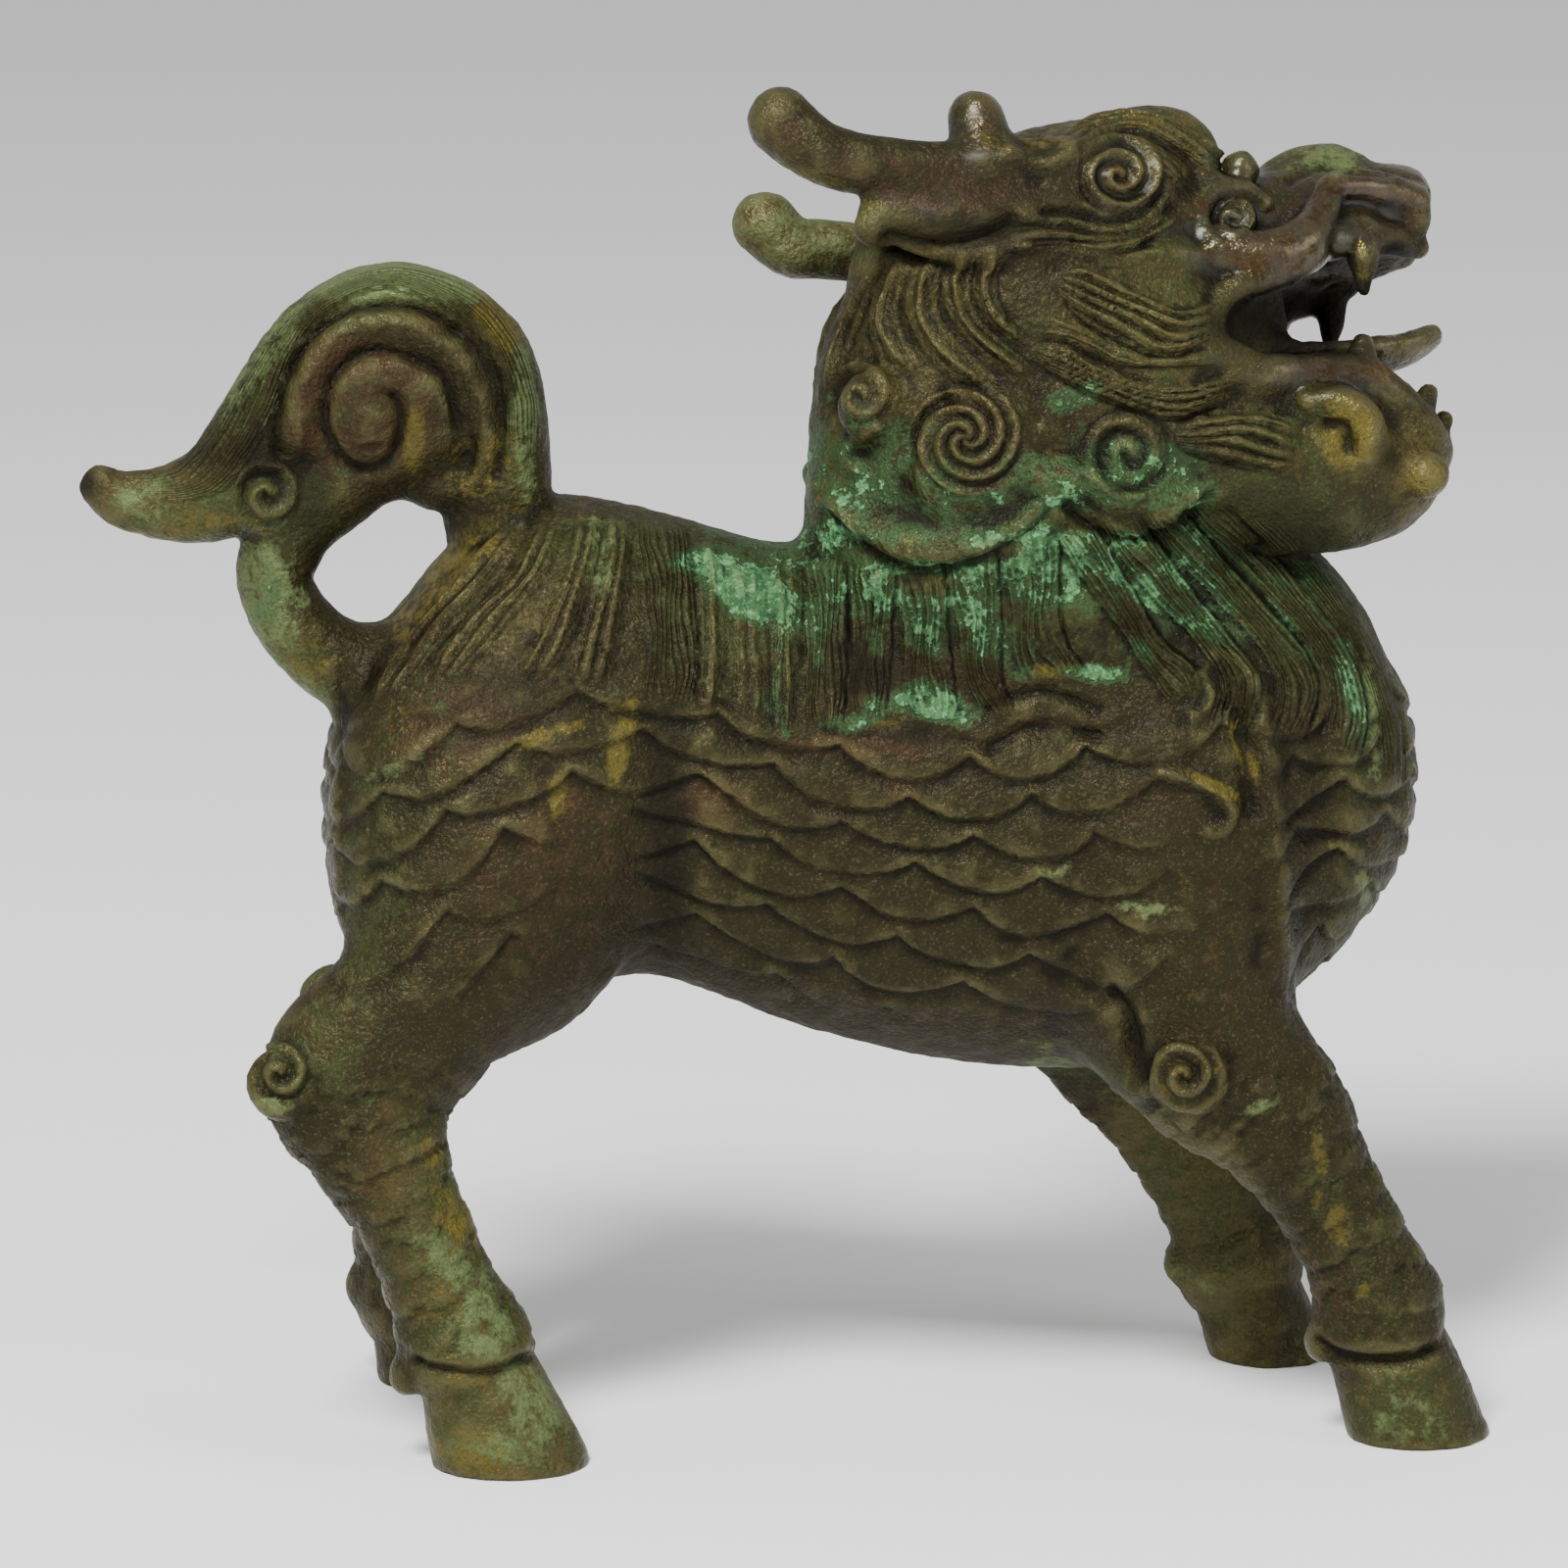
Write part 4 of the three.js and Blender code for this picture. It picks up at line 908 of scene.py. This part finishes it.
VERDIGRIS = [
    (8, 20, 9, 5, -14, 0.95), (22, 21, 10, 4, 0, 0.92), (-3, 18, 6, 3, -30, 1.05), (8.6, 10, 1.4, 4.6, 0, 0.9),
    (16, 15, 6, 4, 0, 0.9), (36, 19, 10, 4, -32, 0.85), (2, 14, 4, 5, 0, 0.75),
    (14, 7.6, 5, 2.2, -10, 0.95), (7, 5.6, 4, 1.2, 0, 0.7), (24, 18, 6, 3.4, 0, 0.8), (35, 17.5, 9, 1.8, -32, 1.0),
    (30, 22, 8, 2.4, -10, 0.7), (32, 30, 6, 3, 0, 0.7), (20, 26.6, 7, 1.0, 0, 0.75), (8, 27, 5, 2.2, 0, 0.8),
    (29, 10.4, 4, 1.0, -6, 1.0), (40, 22, 7, 1.6, -40, 0.75), (47, 14, 5, 1.4, -50, 0.85), (53, 9, 7, 1.4, -75, 0.75),
    (27, 36, 4, 1.4, 20, 0.7), (37, 30, 4, 2, 0, 0.7), (-7, 20.6, 4, 1.8, 0, 0.95), (4, 24, 2, 2, 0, 0.6),
    (26, 27, 4, 2.4, 0, 0.8), (22, 12, 4, 2.4, -30, 0.6), (0, 9, 3, 5, 0, 0.6), (33, 12.6, 3, 1.2, -40, 0.6),
    (14, 17, 5, 3, 0, 0.7), (-48.6, 18, 2.2, 5, 12, 0.55), (-53, 27, 5, 1.6, 20, 0.4),
]
GREEN_FILM = [
    (-52, 24, 14, 5, 10, 0.9), (-40, 45, 16, 3, 10, 0.8), (-49, 10, 6, 10, 20, 1.0), (20, 20, 20, 8, 0, 0.8),
    (-24, 36, 2.4, 12, 0, 0.8), (-50, 38, 8, 5, 50, 0.6), (-36, 34, 9, 8, 0, 0.3),
    (44, 20, 12, 12, -40, 0.9), (56, 8, 5, 16, 0, 0.6), (-2, 16, 10, 8, 0, 0.7), (51, 60, 9, 2.6, 0, 1.0),
    (32, 40, 20, 8, 0, 0.3), (10, 30, 10, 6, 0, 0.5), (36, 51, 9, 4, 0, 0.4), (-34, 4, 8, 6, 40, 0.2),
    (-15, 22, 8, 3, 0, 0.8), (-44, -26, 5, 5, 0, 0.6), (-30, -45, 8, 16, 20, 0.7), (-26, -60, 8, 5, 0, 0.8),
    (54, -45, 7, 16, 15, 0.35), (58, -58, 7, 5, 0, 0.7), (42, -45, 6, 14, 20, 0.6), (28, -28, 6, 4, -30, 0.8),
    (5, 53, 8, 3, -10, 0.6), (46, 32, 8, 5, 0, 0.6), (-38, -8, 4, 14, 0, 0.5), (54, -16, 4, 12, 0, 0.6),
    (38, 60, 8, 3, 0, 0.5), (-4, 60, 4, 4, 0, 0.3), (36, 42, 10, 7, 0, 0.5),
]
# Pale green patina; on the tail's top rim (-36, 47.8) it is laid extra strong as a painted highlight.
PALE_GREEN_AND_HIGHLIGHT = [
    (-45.4, 9, 5, 2.4, -48, 0.9), (-47.8, 17, 3.2, 7, 10, 0.95), (-58, 26, 7, 2.6, 0, 0.5), (-24, 34, 1.6, 9, 0, 0.8),
    (-36, 47.8, 13, 2.6, 0, 1.6), (-48, 41, 10, 2.0, 52, 0.7), (51, 58.6, 4, 2.0, 0, 0.75), (-17, 21, 2, 5, 0, 0.6),
    (-36, 1.5, 3.4, 0.8, 20, 0.9), (54.5, 8, 5, 1.0, -80, 0.8), (55.5, 2, 3, 1.2, -85, 0.7),
    (54, -9.5, 2.5, 0.8, -75, 0.9), (26, -8, 3, 0.5, 10, 0.7), (34, -11.6, 3, 0.6, -8, 1.0),
    (-31, -45, 2, 4, 40, 0.8), (-23.5, -58, 3, 5, 20, 0.9), (-28, -50, 3, 5, 20, 0.7), (-26, -62, 6, 2, 0, 0.8),
    (-47.6, -30, 2, 1.0, 0, 1.0), (44.5, -30, 2, 0.6, 25, 0.9), (26, -27, 4, 2, -30, 0.8), (56, -57, 4, 3, 0, 0.45),
    (59, -60, 4, 2, 0, 0.5), (2, 50.6, 7, 2.6, -8, 0.8), (-3, 53, 3, 3, 0, 0.7), (41, -53, 5, 2.5, 0, 0.6),
    (0, 41, 3, 2, 0, 0.4),
]
OCHRE = [
    (52.6, 33, 3.2, 3.6, 0, 1.15), (60, 28.5, 1.8, 1.8, 0, 1.1), (57, 33, 3, 3, 0, 0.5), (-31, 20, 12, 2.2, 48, 0.8), (-15.0, 4, 1.2, 6, -14, 1.1),
    (-22, 4.6, 4, 0.9, 20, 1.15), (-21, -0.6, 1.0, 2.6, -10, 1.2), (40.2, -0.2, 3.0, 0.7, -28, 1.25), (43, 2.6, 0.9, 4, 20, 1.0),
    (25, 10.4, 3, 0.8, 0, 0.8), (-27, 43, 4, 2.0, -48, 1.0), (-34.4, 32, 1.2, 4, 0, 1.15), (12, 23, 1.6, 0.8, 0, 1.0),
    (20, 20, 1.6, 0.7, 20, 1.0), (25.5, 31, 1.2, 1.0, 0, 1.0), (50, -36, 0.9, 4, 0, 0.9), (52, -41, 1.5, 3, 0, 0.8),
    (54, -47.3, 1, 1, 0, 0.9), (-32.6, -34, 1.2, 1.4, 0, 1.1), (-30.6, -40, 2.4, 5, 20, 0.9), (-44, 11, 3, 3, 0, 0.6),
    (57, -58, 5, 3, 0, 0.5), (-29, -62, 5, 2.4, 0, 0.8), (10, 61, 6, 1.6, 0, 0.5), (4, 55.5, 6, 1.4, -20, 0.7),
    (22, 60, 8, 1.4, 0, 0.6), (54, 49, 0.8, 2.4, 0, 0.9), (38, -26, 3.4, 3.4, 0, 0.4), (-56, 24, 8, 1.6, 10, 0.7),
    (5, 29, 2, 5, 0, 0.6), (35, 62, 6, 1.2, 0, 0.5), (-28, 30, 4, 4, 0, 0.7), (50, -46, 4, 5, 0, 0.3),
    (44, -59, 4, 2, 0, 0.6), (-36, 6, 2, 6, -40, 0.5), (-16, 12, 2, 8, 0, 0.4), (-30, -52, 3, 7, 20, 0.6),
    (3.4, 24, 1, 4, 0, 0.7), (10, 5.6, 4, 0.8, 0, 0.5), (56, 39, 4, 0.8, -10, 0.4),
]
RED_BROWN = [
    (46.5, 52.5, 2.2, 1.4, 0, 1.1), (48, 48.6, 3, 1.2, 30, 0.8), (48, 38.6, 6, 1.2, 0, 0.8), (-33, 43, 1.6, 1, 0, 1.0),
    (-39, 35, 7, 7, 0, 1.25), (-4, 16, 3, 2.5, 0, 0.9), (7, 3.4, 9, 1.4, 0, 0.8), (10, -0.5, 10, 2, 0, 0.5),
    (-28, 3.5, 4, 1.8, 20, 0.7), (-7, -1.5, 4, 3, 0, 0.7), (-25, 7.5, 3, 2, 0, 0.5), (-35, -37, 4, 6, 20, 1.15),
    (-34, -44, 3, 4, 0, 1.0), (-27.5, -57, 3.4, 1.8, 0, 1.0), (38, -24, 4, 3, 0, 0.4), (35, -2, 5, 4, 0, 0.5),
    (50, -47, 4, 6, 0, 0.5), (31.5, 57, 1.6, 1.4, 0, 0.9), (-45, -20, 3, 6, 0, 0.5), (19, 62.6, 2, 2.4, 0, 0.8),
    (0, 61, 2, 2, 0, 0.8), (44, -56, 4, 1, 0, 0.3), (20, -22, 14, 1.6, -8, 0.35), (57, 40.8, 3, 1, 0, 0.8),
    (17, 31, 5, 4, 0, 0.5), (-34, 14, 3, 8, 40, 0.5), (-22, 12, 4, 5, 0, 0.5), (44, 26, 4, 3, 0, 0.4),
    (44, 49.6, 6, 2.2, 0, 1.0), (49.4, 53, 1.8, 3.4, 0, 1.0), (55, 55.4, 7, 1.5, -4, 1.0), (39, 52, 1.8, 4, 0, 0.7),
    (57, 52, 5, 2, 0, 0.6), (52, 38.8, 9, 1.4, -4, 1.0), (-22, -8, 10, 12, 0, 0.55), (14, 56, 12, 3, -6, 0.75),
    (42, -14, 6, 12, 0, 0.35), (17, 32, 5.5, 5.5, 0, 0.5), (-30, 6, 7, 5, 0, 0.7),
]
# Lighter rubbed metal on the horn's root, the tail, hooves, jaw and brow, and painted light on the far fore leg.
RUBBED_AND_PAINTED_LIGHT = [
    (-1, 62, 3, 4, 0, 0.0), (-2, 54, 4, 4, 0, 1.8), (5, 51, 9, 3, -8, 1.6), (-59, 29, 4, 2, -10, 0.5),
    (18.6, 62, 2.4, 3, 0, 0.4), (59, 55, 3, 1.0, 0, 0.4),
    (-46, 10, 6, 4, -45, 0.6), (-58, 26, 8, 4, 0, 0.8), (-36, 47, 14, 3, 0, 0.9), (-26, -58, 8, 7, 10, 1.3),
    (-32, -42, 6, 14, 20, 0.5), (57, -58, 8, 5, 0, 0.3), (50, 34.4, 8, 3, 0, 0.5), (60, 29, 4, 4, 0, 0.8),
    (54, 33, 4, 4, 0, 1.2), (59, 41, 5, 1.6, 10, 0.6), (-42, -24, 4, 4, 0, 0.3), (45, 33, 8, 3, 0, 0.4),
    (33, 60, 10, 4, -8, 0.6), (36, 42, 11, 8, 0, 0.6), (13, 43, 9, 9, 0, 0.45), (-26, 18, 9, 9, 0, 0.45),
    # Painted light: the far fore leg, lightened where the body shades it.
    (41, -44, 5, 14, 20, 1.3),
]
POLISH = [
    (50, 50, 8, 2.4, 24, 1.0), (42, 51, 5, 3, 0, 0.8), (54, 55.4, 8, 1.4, 8, 1.0), (58, 56, 4, 3, 0, 0.8),
    (56, 40.8, 6, 1.4, 8, 0.8), (50, 38, 9, 1.6, -10, 0.8), (10, 57, 14, 5, -6, 0.08), (18, 62, 3, 3, 0, 0.7),
    (49.6, 52.6, 2, 3.4, -10, 1.0), (32, 58, 5, 5, 0, 0.3), (42, 57, 3, 2, 0, 0.7),
]
# Dark patina spots along the collar and on the tail's disc, rump, shin and horn, and painted shade in the mouth's
# corner, the crease before the thigh, under the ear and between jaw and chest.
DARK_PATINA_AND_PAINTED_SHADE = [
    (-10.6, -5, 2.2, 11, 0, 0.88), (-48.5, 31, 2, 2.6, 0, 0.9), (-65, 28, 1.2, 1.6, 0, 1.0), (8, 10, 3.4, 2.0, 10, 0.9),
    (12, 4.6, 3.6, 1.0, 0, 0.8), (6, 12.5, 2, 1.6, 0, 0.8), (12, 19.2, 1.8, 0.8, 0, 0.9), (20.5, 21.3, 1.4, 0.6, 20, 0.8),
    (15, 14, 1, 2, 0, 0.8), (38, 31, 4, 2.0, -20, 0.5), (45, 43, 6, 3, 8, 1.0), (-44, 27, 2, 5, 0, 0.7),
    (46.5, 3, 1.2, 10, 0, 0.5), (15, 51.4, 9, 1.6, 4, 0.9), (-22, 1.4, 0.8, 0.8, 0, 1.0), (-32, 24.6, 7, 2, 0, 0.6),
    (12.5, 24.6, 2, 0.7, 0, 0.6), (-38, 44.3, 6, 0.5, 10, 0.6), (48, 24, 6, 3, -30, 0.6), (56.4, 30.6, 1.8, 1.2, -40, 0.6), (52, 47.6, 4, 1.2, 20, 0.7),
    (15, 56, 10, 2.0, -4, 0.5), (-19, -14, 8, 6, 0, 0.3), (-37, 34, 7, 7, 0, 0.35), (-40, 3, 1.6, 6, 0, 0.4),
    (50, -42, 5, 12, 15, 0.2), (-25, 8, 7, 4, 20, 0.35), (9, 58, 12, 4, -8, 0.2),
]
BARE_ISLANDS = [
    (12, 21.6, 7, 0.8, 0, 1.0), (13, 18.8, 2.4, 0.9, 0, 1.2), (8, 10, 3.2, 1.8, 10, 1.2), (12, 4.8, 3.4, 1.0, 0, 1.0),
    (5.6, 13, 1.6, 1.6, 0, 1.0), (20.4, 21.6, 1.6, 0.7, 20, 1.0), (31, 24.6, 5, 0.9, 0, 1.0), (37, 17, 2.4, 1.2, -30, 0.8),
    (16.4, 12, 1.6, 3.0, 10, 0.8), (27, 14, 3, 1.8, -30, 0.9), (24, 33, 2, 2, 0, 0.8), (1.4, 10, 1.2, 4, 0, 0.9),
    (18, 32, 4, 4, 0, 0.5), (45, 15, 4, 1.0, -45, 0.8), (33, 21, 2, 1, 0, 0.6), (22, 16, 1.6, 1.2, 0, 0.7),
    (5, 20, 3, 2, 0, 0.5),
]
sheet = Sheet(points, normals)
upward = smooth_step(-0.3, 0.9, normals[:, 2])
back_top = smooth_step(72, 84, points[:, 2]) * smooth_step(-14, -4, points[:, 0]) * (1 - sheet.head_share)
mouth_x, mouth_y, mouth_z = head.back(points).T
mouth_out = np.abs(mouth_y)
# Painted shade inside the open mouth: the palate and the inner cheeks are made near black, fading out at the lips and
# over the front of the tongue.
palate = smooth_step(7.6, 6.4, mouth_out) * smooth_step(4.8, 3.2, mouth_z)
cheek_inside = smooth_step(10.4, 9.4, mouth_out) * smooth_step(0.4, -0.8, mouth_z)
mouth_shade = 1.4 * np.maximum(palate, cheek_inside) * sheet.head_share
mouth_shade *= smooth_step(4.5, 6, mouth_x) * smooth_step(30, 27, mouth_x) * smooth_step(-11, -8, mouth_z)
mouth_shade *= 1 - smooth_step(17, 25, mouth_x) * smooth_step(-1, -2.4, mouth_z)
far_horn = smooth_step(6, 9, mouth_y) * smooth_step(-12, -16, mouth_x) * smooth_step(5, 7, mouth_z)
far_horn *= sheet.head_share
shares = {
    "verdigris": np.maximum(sheet.patch(VERDIGRIS), 0.6 * back_top * smooth_step(102, 92, points[:, 2]))
                 - 0.6 * sheet.patch(BARE_ISLANDS),
    "green_film": sheet.patch(GREEN_FILM) + 0.15 * upward,
    "pale_green_and_highlight": sheet.patch(PALE_GREEN_AND_HIGHLIGHT) + 0.1 * upward + 0.7 * far_horn,
    "ochre": np.maximum(sheet.patch(OCHRE), 0.35 * smooth_step(12, 0, points[:, 2])),
    "red_brown": sheet.patch(RED_BROWN),
    "rubbed_and_painted_light": sheet.patch(RUBBED_AND_PAINTED_LIGHT) + 1.8 * far_horn,
    "polish": sheet.patch(POLISH),
    # Dark patina spots, with painted shade in the mouth, creases and recesses.
    "dark_patina_and_painted_shade": np.clip(0.85 * sheet.patch(DARK_PATINA_AND_PAINTED_SHADE) + mouth_shade, 0, 1),
    "hollow": np.clip(hollow, 0, 1),
    "worn_and_highlit": np.clip(worn_and_highlit, 0, 1),
    "comb_turns": sheet.choose(comb_turns),
    "combed": sheet.take(combed) * sheet.seen,
}
for name, values in shares.items():
    layer = mesh.attributes.new(name, "FLOAT", "POINT")
    layer.data.foreach_set("value", values.astype(np.float32))


class Paint:
    """A material's nodes, with short ways to make and join them."""

    def __init__(self, material):
        self.tree = material.node_tree
        self.place = self.tree.nodes.new("ShaderNodeTexCoord").outputs["Object"]

    def join(self, source, socket):
        if isinstance(source, (int, float)):
            socket.default_value = source
        elif isinstance(source, tuple):
            socket.default_value = (*source, 1)
        else:
            self.tree.links.new(source, socket)

    def share(self, name):
        node = self.tree.nodes.new("ShaderNodeAttribute")
        node.attribute_name = name
        return node.outputs["Fac"]

    def speckle(self, size, detail=3.0, rough=0.6):
        """Noise with features of this size in millimetres."""
        node = self.tree.nodes.new("ShaderNodeTexNoise")
        node.inputs["Scale"].default_value = 1000 / size
        node.inputs["Detail"].default_value = detail
        node.inputs["Roughness"].default_value = rough
        self.tree.links.new(self.place, node.inputs["Vector"])
        return node.outputs["Fac"]

    def sum(self, kind, first, second=0.0, third=0.0):
        node = self.tree.nodes.new("ShaderNodeMath")
        node.operation = kind
        for source, socket in zip((first, second, third), node.inputs):
            self.join(source, socket)
        return node.outputs[0]

    def ramp(self, value, low, high):
        node = self.tree.nodes.new("ShaderNodeMapRange")
        node.interpolation_type = "SMOOTHSTEP"
        self.join(value, node.inputs["Value"])
        node.inputs["From Min"].default_value = low
        node.inputs["From Max"].default_value = high
        return node.outputs["Result"]

    def over(self, amount, under, top):
        node = self.tree.nodes.new("ShaderNodeMix")
        node.data_type = "RGBA"
        self.join(amount, node.inputs["Factor"])
        self.join(under, node.inputs["A"])
        self.join(top, node.inputs["B"])
        return node.outputs["Result"]


bronze = bpy.data.materials.new("patinated_bronze")
bronze.use_nodes = True
shader = bronze.node_tree.nodes["Principled BSDF"]
paint = Paint(bronze)
fine = paint.speckle(0.5, 2)
small = paint.speckle(1.6, 3)
middle = paint.speckle(4.5, 3)
grit = paint.speckle(0.3, 2)
mottle = paint.sum("MULTIPLY_ADD", middle, 0.75, paint.sum("MULTIPLY", fine, 0.5))
mottle = paint.sum("MULTIPLY_ADD", small, 0.9, mottle)
islands = paint.sum("MULTIPLY_ADD", mottle, 1.7, -0.83)
gaps = paint.sum("SUBTRACT", 2.0, islands)


def stain(name, low, high, grain):
    """A stain's share, frayed by the grain into flakes and islands."""
    return paint.ramp(paint.sum("ADD", grain, paint.share(name)), low, high)


def lay(tone, amount, strength, colour):
    return paint.over(paint.sum("MULTIPLY", amount, strength), tone, colour)


tone = paint.over(paint.ramp(middle, 0.38, 0.62), (0.0138, 0.0126, 0.0038), (0.0180, 0.0135, 0.0048))
tone = lay(tone, paint.ramp(small, 0.40, 0.75), 0.30, (0.025, 0.0225, 0.0075))
tone = lay(tone, paint.ramp(fine, 0.50, 0.80), 0.30, (0.036, 0.031, 0.012))
tone = lay(tone, stain("red_brown", 1.25, 2.05, gaps), 0.8, (0.040, 0.020, 0.0085))
# Rubbed metal, and painted light on the far fore leg.
tone = lay(tone, stain("rubbed_and_painted_light", 1.10, 1.95, gaps), 0.8, (0.064, 0.053, 0.017))
tone = lay(tone, stain("green_film", 1.20, 1.95, islands), 0.75, (0.030, 0.038, 0.0115))
tone = lay(tone, stain("ochre", 1.45, 2.15, gaps), 0.8, (0.100, 0.080, 0.014))
# Pale green patina, partly a painted highlight on the tail's top rim.
tone = lay(tone, stain("pale_green_and_highlight", 1.40, 2.10, islands), 0.8, (0.094, 0.127, 0.047))
tone = lay(tone, paint.ramp(mottle, 1.06, 0.84), 0.20, (0.010, 0.0085, 0.003))
turns = paint.sum("MULTIPLY_ADD", middle, 1.6, paint.share("comb_turns"))
wave = paint.sum("MULTIPLY_ADD", paint.sum("SINE", paint.sum("MULTIPLY", turns, 2 * math.pi)), 0.5, 0.5)
comb_line = paint.sum("MULTIPLY", paint.sum("SUBTRACT", 1.0, wave), paint.share("combed"))
crust_edge = paint.sum("MULTIPLY_ADD", comb_line, -0.12, mottle)
tone = lay(tone, stain("verdigris", 1.46, 1.66, crust_edge), 0.68, (0.026, 0.060, 0.021))
crust = stain("verdigris", 1.80, 1.91, crust_edge)
green = paint.over(paint.ramp(small, 0.40, 0.66), (0.026, 0.082, 0.030), (0.072, 0.182, 0.072))
green = lay(green, paint.ramp(fine, 0.52, 0.66), 0.55, (0.165, 0.355, 0.175))
tone = lay(tone, crust, 0.95, green)
tone = lay(tone, paint.ramp(grit, 0.50, 0.26), 0.55, (0.014, 0.012, 0.0045))
tone = lay(tone, paint.ramp(grit, 0.54, 0.76), 0.30, (0.115, 0.108, 0.056))
# Wear on the ridges, lightened as a painted highlight.
tone = lay(tone, paint.sum("MULTIPLY", paint.share("worn_and_highlit"), paint.ramp(small, 0.15, 0.60)), 0.38, (0.125, 0.110, 0.046))
# Near black for dirt and dark oxide with painted shade in the hollows, painted shade in the mouth and creases, dark
# patina spots, and painted shade along the comb grooves.
dirt_and_painted_shade = paint.sum("MAXIMUM", paint.sum("MULTIPLY", paint.share("hollow"), 0.9),
                 paint.share("dark_patina_and_painted_shade"))
dirt_and_painted_shade = paint.sum("MAXIMUM", dirt_and_painted_shade, paint.sum("MULTIPLY", comb_line, 0.38))
tone = lay(tone, dirt_and_painted_shade, 1.0, (0.005, 0.004, 0.0016))
paint.join(tone, shader.inputs["Base Color"])

# Coat and metal are taken away under the dark patina and the painted shade, so the painted shade in the mouth stays
# dark.
outside_patina_and_shade = paint.sum("SUBTRACT", 1.0, paint.share("dark_patina_and_painted_shade"))
paint.join(0.1, shader.inputs["Specular IOR Level"])
paint.join(0.34, shader.inputs["Coat Roughness"])
gloss = paint.sum("MULTIPLY", paint.ramp(small, 0.30, 0.55), paint.sum("MULTIPLY", outside_patina_and_shade, 0.6))
paint.join(paint.sum("MULTIPLY", paint.share("polish"), gloss), shader.inputs["Coat Weight"])
metal = paint.sum("MULTIPLY_ADD", paint.share("polish"), 0.35, 0.22)
metal = paint.sum("MULTIPLY", paint.sum("MULTIPLY_ADD", paint.share("worn_and_highlit"), 0.15, metal), outside_patina_and_shade)
metal = paint.sum("MULTIPLY", paint.sum("SUBTRACT", 1.0, crust), metal)
paint.join(metal, shader.inputs["Metallic"])
rough = paint.sum("MULTIPLY_ADD", paint.ramp(small, 0.3, 0.7), 0.2, 0.38)
rough = paint.sum("MULTIPLY_ADD", crust, 0.3, rough)
rough = paint.sum("MULTIPLY_ADD", paint.share("polish"), -0.26, rough)
rough = paint.sum("MULTIPLY_ADD", paint.share("worn_and_highlit"), -0.08, rough)
rough = paint.sum("MULTIPLY_ADD", paint.share("dark_patina_and_painted_shade"), 0.3, rough)
paint.join(rough, shader.inputs["Roughness"])
bump = bronze.node_tree.nodes.new("ShaderNodeBump")
bump.inputs["Strength"].default_value = 0.9
bump.inputs["Distance"].default_value = 0.0005
comb_depth = paint.sum("MULTIPLY", comb_line, -0.45)
pits = paint.sum("MULTIPLY_ADD", fine, 0.6, paint.sum("MULTIPLY_ADD", small, 0.8, paint.sum("MULTIPLY_ADD", crust, 0.3, comb_depth)))
pits = paint.sum("MULTIPLY", pits, paint.sum("MULTIPLY_ADD", paint.share("polish"), -0.7, 1.0))
paint.join(pits, bump.inputs["Height"])
paint.join(bump.outputs["Normal"], shader.inputs["Normal"])
casting.data.materials.clear()
casting.data.materials.append(bronze)

floor_mesh = bpy.data.meshes.new("floor")
floor_mesh.from_pydata([(-2, -2, 0), (2, -2, 0), (2, 2, 0), (-2, 2, 0)], [], [(0, 1, 2, 3)])
floor = bpy.data.objects.new("floor", floor_mesh)
bpy.context.collection.objects.link(floor)
pale_floor = bpy.data.materials.new("pale_floor")
pale_floor.use_nodes = True
pale_floor.node_tree.nodes["Principled BSDF"].inputs["Base Color"].default_value = (0.9, 0.9, 0.9, 1)
pale_floor.node_tree.nodes["Principled BSDF"].inputs["Roughness"].default_value = 0.9
floor_mesh.materials.append(pale_floor)


def soft_light(name, place, size, power):
    data = bpy.data.lights.new(name, "AREA")
    data.size = size
    data.energy = power
    lamp = bpy.data.objects.new(name, data)
    lamp.location = place
    lamp.rotation_euler = (Vector((0, 0, 0.06)) - Vector(place)).to_track_quat("-Z", "Y").to_euler()
    bpy.context.collection.objects.link(lamp)


soft_light("key light", (-0.30, -0.55, 0.80), 0.25, 19)
soft_light("fill light", (0.7, -0.5, 0.35), 0.5, 3)
world = bpy.data.worlds.new("studio")
world.use_nodes = True
world.node_tree.nodes["Background"].inputs["Color"].default_value = (1, 1, 1, 1)
world.node_tree.nodes["Background"].inputs["Strength"].default_value = 0.62
bpy.context.scene.world = world
